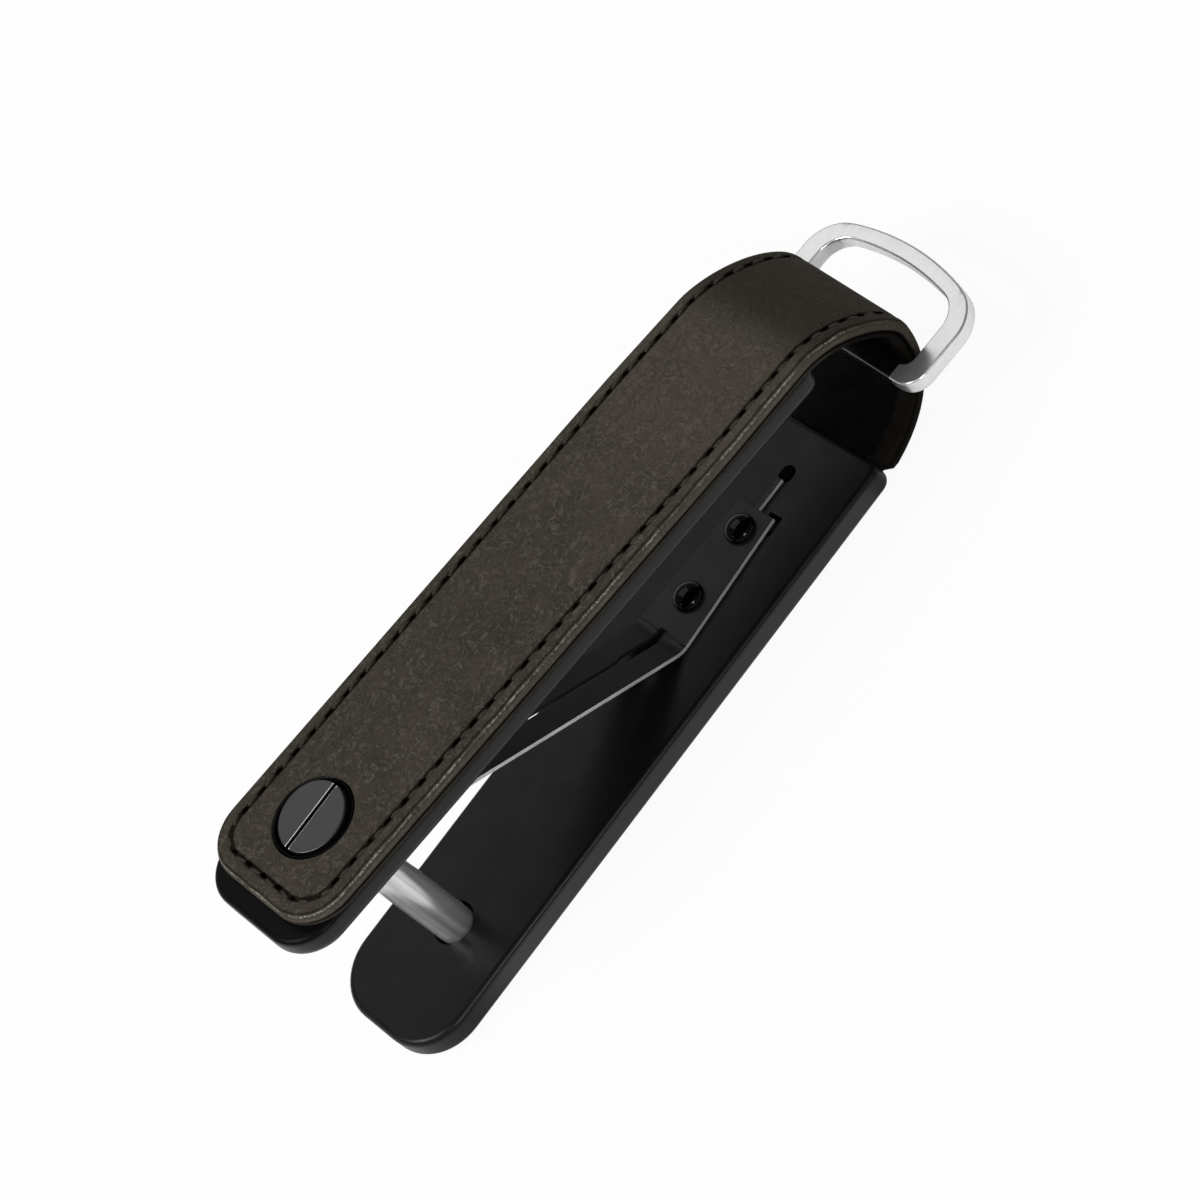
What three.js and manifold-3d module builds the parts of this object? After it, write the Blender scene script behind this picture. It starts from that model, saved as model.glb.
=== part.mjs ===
// Key organizer: two black plates joined by a folded leather strap, clamped round the keys by a slotted
// screw and its barrel post. A riveted leaf spring steadies the keys and a D-ring hangs in the strap's loop.
// Millimetres. +X runs from the screw end to the ring, +Z is up, and the part lies on its lower strap.

import * as THREE from 'three';
import { mergeVertices } from 'three/addons/utils/BufferGeometryUtils.js';
import Module from 'manifold-3d';

const wasm = await Module();
wasm.setup();

// Plates: the upper one is slightly longer and wider than the lower one, with tighter corners at the screw end.
const PLATE_LENGTH = 80.4;
const PLATE_WIDTH = 18.2;
const PLATE_THICKNESS = 3.3;
const PLATE_SCREW_END_RADIUS = 6.5;
const PLATE_LOOP_END_RADIUS = 1.6;
const PLATE_EDGE = 0.8;
const UPPER_PLATE_LENGTH = 81.0;
const UPPER_PLATE_WIDTH = 18.8;
const UPPER_PLATE_SCREW_END_RADIUS = 5.2;

// Post and the space it keeps open: the key gap is measured at the post axis.
const POST_INSET = 13.8;
const POST_DIAMETER = 4.5;
const POST_HOLE_CLEARANCE = 0.35;
const POST_ENTRY_CLEARANCE = 0.6;
const POST_HEAD_DIAMETER = 8.4;
const POST_BORE = 3.3;
const POST_BORE_DEPTH = 4.2;
const POST_ENTRY = 1.0;
const KEY_GAP = 21.7;
const ARM_LEAN = THREE.MathUtils.degToRad(5.2);

// Strap: leather outside, lining inside, each layer bonded through a thin glue line.
const STRAP_WIDTH = 20.0;
const STRAP_SHOULDER_WIDTH = 20.5;
const STRAP_LOOP_WIDTH = 19.2;
const STRAP_END_RADIUS = 5.5;
const STRAP_INSET = 2.35;
const LEATHER = 1.3;
const LINING = 0.45;
const GLUE = 0.25;

// Lower run of the strap: a narrower tail let into the underside of the lower plate.
const TAIL_WIDTH = 15.0;
const TAIL_INSET = 2.4;
const TAIL_END_RADIUS = 4.5;
const TAIL_PROUD = 0.2;
const TAIL_NECK_WIDTH = 17.8;
const TAIL_NECK_REACH = 1.1;

// Loop: its outermost line is where the strap bends when the organizer is opened. It sits slightly askew.
const LOOP_REACH = 12.85;
const LOOP_SKEW = THREE.MathUtils.degToRad(3.2);
const LOOP_APEX_HEIGHT = 14.0;
const LOOP_SPLIT = 0.3;
const UPPER_PLATE_SETBACK = 11.8;
const UPPER_BEND_OVERLAP = 1.9;
const LOWER_BEND_OVERLAP = 4.1;
const UPPER_HANDLES = { run: 0.45, apex: 0.4 };
const LOWER_HANDLES = { run: 0.55, apex: 0.66 };

// Clamp screw and the eyelet that lines its hole in the strap.
const SCREW_HEAD_DIAMETER = 8.3;
const SCREW_HEAD_HEIGHT = 2.2;
const SCREW_HEAD_PROUD = 0.4;
const SCREW_HEAD_EDGE = 0.25;
const SCREW_SLOT_WIDTH = 0.5;
const SCREW_SLOT_DEPTH = 0.8;
const SCREW_SHANK_DIAMETER = 2.2;
const SCREW_ENGAGEMENT = 3.3;
const EYELET_BORE_CLEARANCE = 0.2;
const EYELET_WALL = 0.3;

// Leaf spring: the base lies on the lower plate and the fingers rise from the bend towards the post.
const SPRING_BEND_X = 37.7;
const SPRING_BASE_LENGTH = 17.8;
const SPRING_OFFSET = 0.85;
const SPRING_WIDTH = 7.8;
const SPRING_TAIL_WIDTH = 5.6;
const SPRING_THICKNESS = 0.5;
const SPRING_BEND_GAP = 0.3;
const FINGER_RUN = 29.6;
const FINGER_TIP_DROP = 4.1;
const FINGER_TIP_RADIUS = 1.2;
const SLIT_WIDTH = 0.6;
const SLIT_RELIEF_WIDTH = 1.3;
const SLIT_RELIEF_LENGTH = 5.0;
const SLIT_NOTCH = 0.9;
const TONGUE_WIDTH = 0.7;
const TONGUE_LENGTH = 4.2;
const KEYHOLE_LENGTH = 2.3;
const KEYHOLE_WIDTH = 1.9;
const LUG_LENGTH = 1.3;
const LUG_WIDTH = 0.8;
const LUG_DEPTH = 0.7;
const LUG_SLOT_CLEARANCE = 0.6;

// Rivets of the leaf spring, counted from the bend.
const RIVET_FIRST = 5.6;
const RIVET_PITCH = 9.3;
const RIVET_HEAD_DIAMETER = 3.7;
const RIVET_HEAD_HEIGHT = 1.2;
const RIVET_SHANK_DIAMETER = 1.8;
const RIVET_SHANK_REACH = 0.8;

// D-ring: a bar inside the loop, two arms beside the strap and a bowed outer side.
const RING_LENGTH = 13.65;
const RING_THICKNESS = 2.0;
const RING_BAR = 2.0;
const RING_ARM = 2.7;
const RING_BOW = 2.0;
const RING_BOW_CURVE = 34.0;
const RING_BAR_RADIUS = 2.6;
const RING_BOW_RADIUS = 3.5;
const RING_EDGE = 0.3;
const RING_SIDE_CLEARANCE = 0.6;
const RING_SLACK = 1.3;
const RING_DROP = 4.0;

// Clearances between neighbours.
const SEAT_GAP = 0.05;
const LOOSE_GAP = 0.3;
const HOLE_CLEARANCE = 0.15;

// Smoothness of round faces, in segments.
const ROUND_SEGMENTS = 32;
const SMALL_ROUND_SEGMENTS = 20;
const BEND_SEGMENTS = 12;
const CORNER_SEGMENTS = 8;
const EDGE_SEGMENTS = 2;

// Levels of the lower half, from the underside of the tail upwards.
const STRAP_STACK = LEATHER + GLUE + LINING;
const LOWER_PLATE_BOTTOM = TAIL_PROUD;
const LOWER_PLATE_TOP = LOWER_PLATE_BOTTOM + PLATE_THICKNESS;
const TAIL_BED = STRAP_STACK + GLUE;

// Stations along X, counted from the post axis.
const LOWER_PLATE_START = -POST_INSET;
const LOWER_PLATE_END = LOWER_PLATE_START + PLATE_LENGTH;
const APEX = new THREE.Vector2(LOWER_PLATE_END + LOOP_REACH, LOOP_APEX_HEIGHT);
const UPPER_BEND_RUN = UPPER_PLATE_SETBACK + UPPER_BEND_OVERLAP;
const LOWER_BEND_RUN = LOOP_REACH + LOWER_BEND_OVERLAP;
const RING_START = APEX.x - STRAP_STACK - RING_SLACK - RING_BAR;

// Levels of the upper half, in the frame of the leaning arm whose origin is the loop's apex.
const ARM_INNER_FACE = -APEX.x * Math.sin(ARM_LEAN)
  + (LOWER_PLATE_TOP + KEY_GAP - APEX.y) * Math.cos(ARM_LEAN);
const ARM_PLATE_TOP = ARM_INNER_FACE + PLATE_THICKNESS;
const ARM_STRAP_TOP = ARM_PLATE_TOP + GLUE + STRAP_STACK;
const ARM_PLATE_START = -UPPER_PLATE_SETBACK - UPPER_PLATE_LENGTH;
const ARM_STRAP_START = ARM_PLATE_START + STRAP_INSET;

// The arm leans about the apex; the post and the screw stay square to the lower plate.
const arm = new THREE.Group();
arm.position.set(APEX.x, 0, APEX.y);
arm.rotation.y = ARM_LEAN;
arm.updateMatrix();
const toArm = arm.matrix.clone().invert();

/** Height at the post axis of a face of the arm that lies at the given level of the arm's frame. */
function heightAtPost(level) {
  return APEX.y + (level + APEX.x * Math.sin(ARM_LEAN)) / Math.cos(ARM_LEAN);
}

/** Free height between the plates at a station along X. */
function gapAt(x) {
  return KEY_GAP - x * Math.tan(ARM_LEAN);
}

/** Closed solid from a geometry, with its shared vertices merged. */
function solidOf(geometry) {
  const bare = geometry.clone();
  bare.deleteAttribute('normal');
  bare.deleteAttribute('uv');
  const merged = mergeVertices(bare);
  const vertProperties = new Float32Array(merged.attributes.position.array);
  const triVerts = new Uint32Array(merged.index.array);
  return new wasm.Manifold(new wasm.Mesh({ numProp: 3, vertProperties, triVerts }));
}

/** Geometry from a solid. */
function geometryOf(solid) {
  const mesh = solid.getMesh();
  const geometry = new THREE.BufferGeometry();
  geometry.setAttribute('position', new THREE.BufferAttribute(new Float32Array(mesh.vertProperties), 3));
  geometry.setIndex(new THREE.BufferAttribute(new Uint32Array(mesh.triVerts), 1));
  geometry.computeVertexNormals();
  return geometry;
}

/** The first geometry with all the others taken away from it. */
function cut(geometry, ...tools) {
  const rest = tools.reduce((solid, tool) => solid.subtract(solidOf(tool)), solidOf(geometry));
  return geometryOf(rest);
}

/** The space that two geometries share. */
function common(first, second) {
  return geometryOf(solidOf(first).intersect(solidOf(second)));
}

/** All the geometries as one. */
function join(first, ...others) {
  return geometryOf(others.reduce((solid, other) => solid.add(solidOf(other)), solidOf(first)));
}

/** Flat blank: an outline in XY raised from one level to another, with its edges rounded off. */
function blank(outline, bottom, top, edge = 0) {
  const geometry = new THREE.ExtrudeGeometry(outline, {
    depth: top - bottom - 2 * edge,
    bevelEnabled: edge > 0,
    bevelThickness: edge,
    bevelSize: edge,
    bevelOffset: -edge,
    bevelSegments: EDGE_SEGMENTS,
    curveSegments: CORNER_SEGMENTS,
  });
  return geometry.translate(0, 0, bottom + edge);
}

/** Side profile in XZ, drawn out evenly to both sides of the middle plane. */
function slab(profile, width) {
  const geometry = new THREE.ExtrudeGeometry(profile, { depth: width, bevelEnabled: false });
  return geometry.rotateX(Math.PI / 2).translate(0, width / 2, 0);
}

/** Upright rod between two levels. */
function rod(diameter, bottom, top, segments = ROUND_SEGMENTS) {
  const geometry = new THREE.CylinderGeometry(diameter / 2, diameter / 2, top - bottom, segments);
  return geometry.rotateX(Math.PI / 2).translate(0, 0, (bottom + top) / 2);
}

/** Box between two corners. */
function block(low, high) {
  const size = high.map((value, i) => value - low[i]);
  const centre = high.map((value, i) => (value + low[i]) / 2);
  return new THREE.BoxGeometry(...size).translate(...centre);
}

/** Solid of revolution about Z from radius and height pairs that start and end on the axis. */
function turned(pairs, segments = ROUND_SEGMENTS) {
  const points = pairs.map(([radius, height]) => new THREE.Vector2(radius, height));
  return new THREE.LatheGeometry(points, segments).rotateX(Math.PI / 2);
}

/** Outline of a plate: large corners at the screw end and small ones at the loop end. */
function plateOutline(start, end, width, large) {
  const half = width / 2;
  const small = PLATE_LOOP_END_RADIUS;
  const outline = new THREE.Shape();
  outline.moveTo(start + large, -half);
  outline.lineTo(end - small, -half);
  outline.absarc(end - small, -half + small, small, -Math.PI / 2, 0);
  outline.absarc(end - small, half - small, small, 0, Math.PI / 2);
  outline.absarc(start + large, half - large, large, Math.PI / 2, Math.PI);
  outline.absarc(start + large, -half + large, large, Math.PI, 1.5 * Math.PI);
  return outline;
}

/** Outline of a strap half: a rounded end, straight edges to a shoulder and a neck, and the part that bends. */
function strapOutline(sizes) {
  const { start, endRadius, endHalf, shoulder, shoulderHalf } = sizes;
  const { neck, neckHalf, middleHalf, apex, apexHalf } = sizes;
  const outline = new THREE.Shape();
  const middle = (neck + apex) / 2;
  outline.moveTo(start + endRadius, -endHalf);
  outline.lineTo(shoulder, -shoulderHalf);
  outline.lineTo(neck, -neckHalf);
  outline.quadraticCurveTo(middle, -middleHalf, apex, -apexHalf);
  outline.lineTo(apex, apexHalf);
  outline.quadraticCurveTo(middle, middleHalf, neck, neckHalf);
  outline.lineTo(shoulder, shoulderHalf);
  outline.lineTo(start + endRadius, endHalf);
  outline.absarc(start + endRadius, endHalf - endRadius, endRadius, Math.PI / 2, Math.PI);
  outline.absarc(start + endRadius, -endHalf + endRadius, endRadius, Math.PI, 1.5 * Math.PI);
  return outline;
}

/** Side profile of a layer of the strap, between two depths below the outer face of the given curves. */
function layerProfile(curves, outerDepth, innerDepth) {
  const stations = curves.flatMap((curve, i) => {
    const steps = curve.isLineCurve ? 1 : BEND_SEGMENTS;
    const first = i === 0 ? 0 : 1;
    return Array.from({ length: steps + 1 - first }, (_, k) => {
      const t = (k + first) / steps;
      const point = curve.getPoint(t);
      const tangent = curve.getTangent(t);
      return { point, inward: new THREE.Vector2(tangent.y, -tangent.x) };
    });
  });
  const at = (depth) => stations.map(({ point, inward }) => point.clone().addScaledVector(inward, depth));
  return new THREE.Shape([...at(outerDepth), ...at(innerDepth).reverse()]);
}

/** Outer face of the upper strap half, in the frame of the arm: a straight run and the bend to the apex. */
function upperFace() {
  const rise = new THREE.Vector2(-Math.sin(ARM_LEAN), Math.cos(ARM_LEAN));
  const bendStart = new THREE.Vector2(-UPPER_BEND_RUN, ARM_STRAP_TOP);
  const apex = rise.clone().multiplyScalar(LOOP_SPLIT / 2);
  const runHandle = new THREE.Vector2(bendStart.x + UPPER_HANDLES.run * UPPER_BEND_RUN, bendStart.y);
  const apexHandle = apex.clone().addScaledVector(rise, UPPER_HANDLES.apex * ARM_STRAP_TOP);
  return [
    new THREE.LineCurve(new THREE.Vector2(ARM_PLATE_START - PLATE_THICKNESS, ARM_STRAP_TOP), bendStart),
    new THREE.CubicBezierCurve(bendStart, runHandle, apexHandle, apex),
  ];
}

/** Outer face of the lower strap half: the bend down from the apex and the tail along the ground. */
function lowerFace() {
  const apex = new THREE.Vector2(APEX.x, APEX.y - LOOP_SPLIT / 2);
  const bendEnd = new THREE.Vector2(APEX.x - LOWER_BEND_RUN, 0);
  const apexHandle = new THREE.Vector2(apex.x, apex.y * (1 - LOWER_HANDLES.apex));
  const runHandle = new THREE.Vector2(bendEnd.x + LOWER_HANDLES.run * LOWER_BEND_RUN, 0);
  return [
    new THREE.CubicBezierCurve(apex, apexHandle, runHandle, bendEnd),
    new THREE.LineCurve(bendEnd, new THREE.Vector2(LOWER_PLATE_START - PLATE_THICKNESS, 0)),
  ];
}

/** Turns the loop's end of a strap layer askew, with a slant that grows between the two stations. */
function askew(geometry, from, to) {
  const positions = geometry.attributes.position;
  for (let i = 0; i < positions.count; i += 1) {
    const share = THREE.MathUtils.smoothstep(positions.getX(i), from, to);
    positions.setX(i, positions.getX(i) + share * Math.tan(LOOP_SKEW) * positions.getY(i));
  }
  return geometry;
}

/** One layer of the upper strap half, with the hole for the eyelet. */
function upperLayer(outerDepth, innerDepth) {
  const outline = strapOutline({
    start: ARM_STRAP_START,
    endRadius: STRAP_END_RADIUS,
    endHalf: STRAP_WIDTH / 2,
    shoulder: -UPPER_PLATE_SETBACK - UPPER_BEND_RUN,
    shoulderHalf: STRAP_SHOULDER_WIDTH / 2,
    neck: -UPPER_PLATE_SETBACK,
    neckHalf: (STRAP_SHOULDER_WIDTH + STRAP_LOOP_WIDTH) / 4,
    middleHalf: STRAP_LOOP_WIDTH / 2,
    apex: STRAP_STACK,
    apexHalf: STRAP_LOOP_WIDTH / 2,
  });
  const reach = ARM_STRAP_TOP + STRAP_STACK;
  const plan = blank(outline, -reach, reach);
  const band = slab(layerProfile(upperFace(), outerDepth, innerDepth), 2 * STRAP_SHOULDER_WIDTH);
  const hole = rod(eyeletOuter() + 2 * HOLE_CLEARANCE, ARM_PLATE_TOP, ARM_STRAP_TOP + LEATHER);
  const layer = cut(common(band, plan), hole.translate(eyeletStation(), 0, 0));
  return askew(layer, -UPPER_BEND_RUN, 0);
}

/** One layer of the lower strap half, with the hole for the head of the post. */
function lowerLayer(outerDepth, innerDepth) {
  const outline = strapOutline({
    start: LOWER_PLATE_START + TAIL_INSET,
    endRadius: TAIL_END_RADIUS,
    endHalf: TAIL_WIDTH / 2,
    shoulder: LOWER_PLATE_END + LOOSE_GAP,
    shoulderHalf: TAIL_WIDTH / 2,
    neck: LOWER_PLATE_END + TAIL_NECK_REACH,
    neckHalf: TAIL_NECK_WIDTH / 2,
    middleHalf: (TAIL_NECK_WIDTH + STRAP_LOOP_WIDTH) / 4,
    apex: APEX.x + STRAP_STACK,
    apexHalf: STRAP_LOOP_WIDTH / 2,
  });
  const plan = blank(outline, -STRAP_STACK, APEX.y + STRAP_STACK);
  const band = slab(layerProfile(lowerFace(), outerDepth, innerDepth), 2 * STRAP_SHOULDER_WIDTH);
  const hole = rod(POST_HEAD_DIAMETER + 2 * LOOSE_GAP, -STRAP_STACK, LOWER_PLATE_TOP);
  return askew(cut(common(band, plan), hole), APEX.x - LOWER_BEND_RUN, APEX.x);
}

/** Outer diameter of the eyelet: the screw head, its room to stand askew and the eyelet's wall. */
function eyeletOuter() {
  const skew = SCREW_HEAD_HEIGHT * Math.tan(ARM_LEAN);
  return SCREW_HEAD_DIAMETER + skew + 2 * EYELET_BORE_CLEARANCE + 2 * EYELET_WALL;
}

/** Where the post axis meets the strap's outer face, along the arm. */
function eyeletStation() {
  const meeting = new THREE.Vector3(0, 0, heightAtPost(ARM_STRAP_TOP));
  return meeting.applyMatrix4(toArm).x;
}

function strapUpperLeather() {
  return upperLayer(0, LEATHER);
}

function strapUpperLining() {
  return upperLayer(LEATHER + GLUE, STRAP_STACK);
}

function strapLowerLeather() {
  return lowerLayer(0, LEATHER);
}

function strapLowerLining() {
  return lowerLayer(LEATHER + GLUE, STRAP_STACK);
}

/** Upper plate with the bore for the post and a seat spot-faced square to the screw. */
function upperPlate() {
  const end = ARM_PLATE_START + UPPER_PLATE_LENGTH;
  const outline = plateOutline(ARM_PLATE_START, end, UPPER_PLATE_WIDTH, UPPER_PLATE_SCREW_END_RADIUS);
  const plate = blank(outline, ARM_INNER_FACE, ARM_PLATE_TOP, PLATE_EDGE);
  const seat = screwSeat() - LOOSE_GAP;
  const spotFace = rod(eyeletOuter(), seat, seat + STRAP_STACK).applyMatrix4(toArm);
  const boreDiameter = POST_DIAMETER + 2 * POST_ENTRY_CLEARANCE;
  const bore = rod(boreDiameter, LOWER_PLATE_TOP, seat + STRAP_STACK).applyMatrix4(toArm);
  return cut(plate, spotFace, bore);
}

/** Lower plate with the bed for the tail and the holes for the post, the rivets and the spring's tongue. */
function lowerPlate() {
  const outline = plateOutline(LOWER_PLATE_START, LOWER_PLATE_END, PLATE_WIDTH, PLATE_SCREW_END_RADIUS);
  const plate = blank(outline, LOWER_PLATE_BOTTOM, LOWER_PLATE_TOP, PLATE_EDGE);
  const bedOutline = strapOutline({
    start: LOWER_PLATE_START + TAIL_INSET - GLUE,
    endRadius: TAIL_END_RADIUS + GLUE,
    endHalf: TAIL_WIDTH / 2 + GLUE,
    shoulder: LOWER_PLATE_END - PLATE_EDGE,
    shoulderHalf: TAIL_WIDTH / 2 + GLUE,
    neck: LOWER_PLATE_END,
    neckHalf: TAIL_WIDTH / 2 + GLUE,
    middleHalf: TAIL_WIDTH / 2 + GLUE,
    apex: LOWER_PLATE_END + PLATE_EDGE,
    apexHalf: TAIL_WIDTH / 2 + GLUE,
  });
  const bedPlan = blank(bedOutline, -STRAP_STACK, LOWER_PLATE_TOP);
  const bedBand = slab(layerProfile(lowerFace(), -STRAP_STACK, TAIL_BED), 2 * STRAP_SHOULDER_WIDTH);
  const bed = common(bedBand, bedPlan);
  const postHole = rod(POST_DIAMETER + 2 * POST_HOLE_CLEARANCE, LOWER_PLATE_BOTTOM, 2 * LOWER_PLATE_TOP);
  const rivetHoles = rivetStations().map((x) => rivetHole().translate(x, SPRING_OFFSET, 0));
  return cut(plate, bed, postHole, ...rivetHoles, keyhole(), lugSlot());
}

/** Hole for a rivet's shank through the spring and the lower plate. */
function rivetHole() {
  const diameter = RIVET_SHANK_DIAMETER + 2 * HOLE_CLEARANCE;
  return rod(diameter, LOWER_PLATE_BOTTOM, LOWER_PLATE_TOP + PLATE_THICKNESS, SMALL_ROUND_SEGMENTS);
}

function rivetStations() {
  const first = SPRING_BEND_X + RIVET_FIRST;
  return [first, first + RIVET_PITCH];
}

/** Oval hole in the lower plate that takes the end of the spring's tongue. */
function keyhole() {
  const radius = KEYHOLE_WIDTH / 2;
  const start = SPRING_BEND_X + SPRING_BASE_LENGTH + TONGUE_LENGTH - LOOSE_GAP;
  const spread = (KEYHOLE_LENGTH - KEYHOLE_WIDTH) / 2;
  const outline = new THREE.Shape();
  outline.absarc(start + radius + 2 * spread, SPRING_OFFSET, radius, -Math.PI / 2, Math.PI / 2);
  outline.absarc(start + radius, SPRING_OFFSET, radius, Math.PI / 2, 1.5 * Math.PI);
  return blank(outline, LOWER_PLATE_BOTTOM, LOWER_PLATE_TOP + PLATE_THICKNESS);
}

/** Corners of the spring's lug, which locates the near rear corner of its base. */
function lugBox(clearance) {
  const end = SPRING_BEND_X + SPRING_BASE_LENGTH;
  const side = SPRING_OFFSET - SPRING_TAIL_WIDTH / 2;
  return {
    low: [end - LUG_LENGTH - clearance, side - clearance],
    high: [end + clearance, side + LUG_WIDTH + clearance],
  };
}

function lugSlot() {
  const { low, high } = lugBox(LUG_SLOT_CLEARANCE);
  return block([...low, LOWER_PLATE_BOTTOM], [...high, LOWER_PLATE_TOP + PLATE_THICKNESS]);
}

/** Barrel post: a slotted head in the lower strap and a shaft that ends inside the upper plate's bore. */
function barrelPost() {
  const headBottom = TAIL_PROUD / 2;
  const headTop = TAIL_BED - SEAT_GAP;
  const top = LOWER_PLATE_TOP + KEY_GAP + POST_ENTRY;
  const head = POST_HEAD_DIAMETER / 2;
  const shaft = POST_DIAMETER / 2;
  const bore = POST_BORE / 2;
  const body = turned([
    [0, headBottom],
    [head - SCREW_HEAD_EDGE, headBottom],
    [head, headBottom + SCREW_HEAD_EDGE],
    [head, headTop],
    [shaft, headTop],
    [shaft, top - SCREW_HEAD_EDGE],
    [shaft - SCREW_HEAD_EDGE, top],
    [bore, top],
    [bore, top - POST_BORE_DEPTH],
    [0, top - POST_BORE_DEPTH],
  ]);
  const slot = block(
    [-POST_HEAD_DIAMETER, -SCREW_SLOT_WIDTH / 2, headBottom - SCREW_SLOT_DEPTH],
    [POST_HEAD_DIAMETER, SCREW_SLOT_WIDTH / 2, headBottom + SCREW_SLOT_DEPTH],
  );
  return cut(body, slot);
}

/** Underside of the screw head. */
function screwSeat() {
  return heightAtPost(ARM_STRAP_TOP) + SCREW_HEAD_PROUD - SCREW_HEAD_HEIGHT;
}

/** Clamp screw: a wide slotted head and a plain shank that enters the post. */
function clampScrew() {
  const seat = screwSeat();
  const top = seat + SCREW_HEAD_HEIGHT;
  const tip = LOWER_PLATE_TOP + KEY_GAP + POST_ENTRY - SCREW_ENGAGEMENT;
  const head = SCREW_HEAD_DIAMETER / 2;
  const shank = SCREW_SHANK_DIAMETER / 2;
  const body = turned([
    [0, tip],
    [shank - SCREW_HEAD_EDGE, tip],
    [shank, tip + SCREW_HEAD_EDGE],
    [shank, seat],
    [head, seat],
    [head, top - SCREW_HEAD_EDGE],
    [head - SCREW_HEAD_EDGE, top],
    [0, top],
  ]);
  const slot = block(
    [-SCREW_HEAD_DIAMETER, -SCREW_SLOT_WIDTH / 2, top - SCREW_SLOT_DEPTH],
    [SCREW_HEAD_DIAMETER, SCREW_SLOT_WIDTH / 2, top + SCREW_SLOT_DEPTH],
  );
  return cut(body, slot);
}

/** Eyelet that lines the strap's hole around the screw head. */
function screwEyelet() {
  const outer = eyeletOuter();
  const bottom = ARM_PLATE_TOP + LOOSE_GAP;
  const ring = rod(outer, bottom, ARM_STRAP_TOP);
  const bore = rod(outer - 2 * EYELET_WALL, ARM_INNER_FACE, ARM_STRAP_TOP + LEATHER);
  return cut(ring, bore).translate(eyeletStation(), 0, 0);
}

/** Base of the leaf spring: a tapered leaf with rivet holes, a rear tongue and a lug bent into the plate. */
function springBase() {
  const bottom = LOWER_PLATE_TOP + SEAT_GAP;
  const top = bottom + SPRING_THICKNESS;
  const start = SPRING_BEND_X + SPRING_BEND_GAP;
  const end = SPRING_BEND_X + SPRING_BASE_LENGTH;
  const half = SPRING_WIDTH / 2;
  const tailHalf = SPRING_TAIL_WIDTH / 2;
  const relief = SLIT_RELIEF_WIDTH / 2;
  const leaf = new THREE.Shape();
  leaf.moveTo(start + SLIT_NOTCH, relief);
  leaf.lineTo(start + SLIT_NOTCH, -relief);
  leaf.lineTo(start, -relief);
  leaf.lineTo(start, -half);
  leaf.lineTo(end, -tailHalf);
  leaf.lineTo(end, -TONGUE_WIDTH / 2);
  leaf.lineTo(end + TONGUE_LENGTH, -TONGUE_WIDTH / 2);
  leaf.lineTo(end + TONGUE_LENGTH, TONGUE_WIDTH / 2);
  leaf.lineTo(end, TONGUE_WIDTH / 2);
  leaf.lineTo(end, tailHalf);
  leaf.lineTo(start, half);
  leaf.lineTo(start, relief);
  const { low, high } = lugBox(0);
  const lug = block([...low, LOWER_PLATE_TOP - LUG_DEPTH], [...high, top]);
  const holes = rivetStations().map((x) => rivetHole().translate(x, SPRING_OFFSET, 0));
  return cut(join(blank(leaf, bottom, top).translate(0, SPRING_OFFSET, 0), lug), ...holes);
}

/** One finger of the leaf spring, rising from the bend; side is -1 for the near one and 1 for the far one. */
function springFinger(side) {
  const rise = gapAt(SPRING_BEND_X - FINGER_RUN) - FINGER_TIP_DROP;
  const length = Math.hypot(FINGER_RUN, rise);
  const climb = Math.atan2(rise, FINGER_RUN);
  const outer = SPRING_WIDTH / 2;
  const inner = SLIT_WIDTH / 2;
  const relief = SLIT_RELIEF_WIDTH / 2;
  const round = FINGER_TIP_RADIUS;
  const outline = new THREE.Shape();
  outline.moveTo(-SPRING_BEND_GAP, side * relief);
  outline.lineTo(-SLIT_RELIEF_LENGTH, side * relief);
  outline.lineTo(-SLIT_RELIEF_LENGTH - relief, side * inner);
  outline.lineTo(-length, side * inner);
  outline.lineTo(-length, side * (outer - round));
  outline.quadraticCurveTo(-length, side * outer, -length + round, side * outer);
  outline.lineTo(-SPRING_BEND_GAP, side * outer);
  const finger = blank(outline, -SPRING_THICKNESS / 2, SPRING_THICKNESS / 2);
  const level = LOWER_PLATE_TOP + SEAT_GAP + SPRING_THICKNESS / 2;
  return finger.rotateY(climb).translate(SPRING_BEND_X, SPRING_OFFSET, level);
}

/** Dome rivet that holds the spring's base. */
function rivet(station) {
  const seat = LOWER_PLATE_TOP + 2 * SEAT_GAP + SPRING_THICKNESS;
  const tip = LOWER_PLATE_TOP - RIVET_SHANK_REACH;
  const shank = RIVET_SHANK_DIAMETER / 2;
  const head = RIVET_HEAD_DIAMETER / 2;
  const dome = Array.from({ length: CORNER_SEGMENTS }, (_, k) => {
    const angle = (k / (CORNER_SEGMENTS - 1)) * (Math.PI / 2);
    const radius = k === CORNER_SEGMENTS - 1 ? 0 : head * Math.cos(angle);
    return [radius, seat + RIVET_HEAD_HEIGHT * Math.sin(angle)];
  });
  const body = turned([[0, tip], [shank, tip], [shank, seat], ...dome], SMALL_ROUND_SEGMENTS);
  return body.translate(station, SPRING_OFFSET, 0);
}

/** Outline of the D-ring, or of its opening: straight on the bar side and bowed on the other. */
function ringOutline(path, { start, end, half, barRadius, bowRadius }) {
  const bowStart = half - bowRadius;
  const rise = bowStart ** 2 / (2 * RING_BOW_CURVE);
  const shoulder = end - rise;
  const lean = (2 * rise) / bowStart;
  const cornerX = shoulder - lean * bowRadius;
  path.moveTo(start, -half + barRadius);
  path.quadraticCurveTo(start, -half, start + barRadius, -half);
  path.lineTo(cornerX - bowRadius, -half);
  path.quadraticCurveTo(cornerX, -half, shoulder, -bowStart);
  path.quadraticCurveTo(end + rise, 0, shoulder, bowStart);
  path.quadraticCurveTo(cornerX, half, cornerX - bowRadius, half);
  path.lineTo(start + barRadius, half);
  path.quadraticCurveTo(start, half, start, half - barRadius);
  return path;
}

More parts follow.
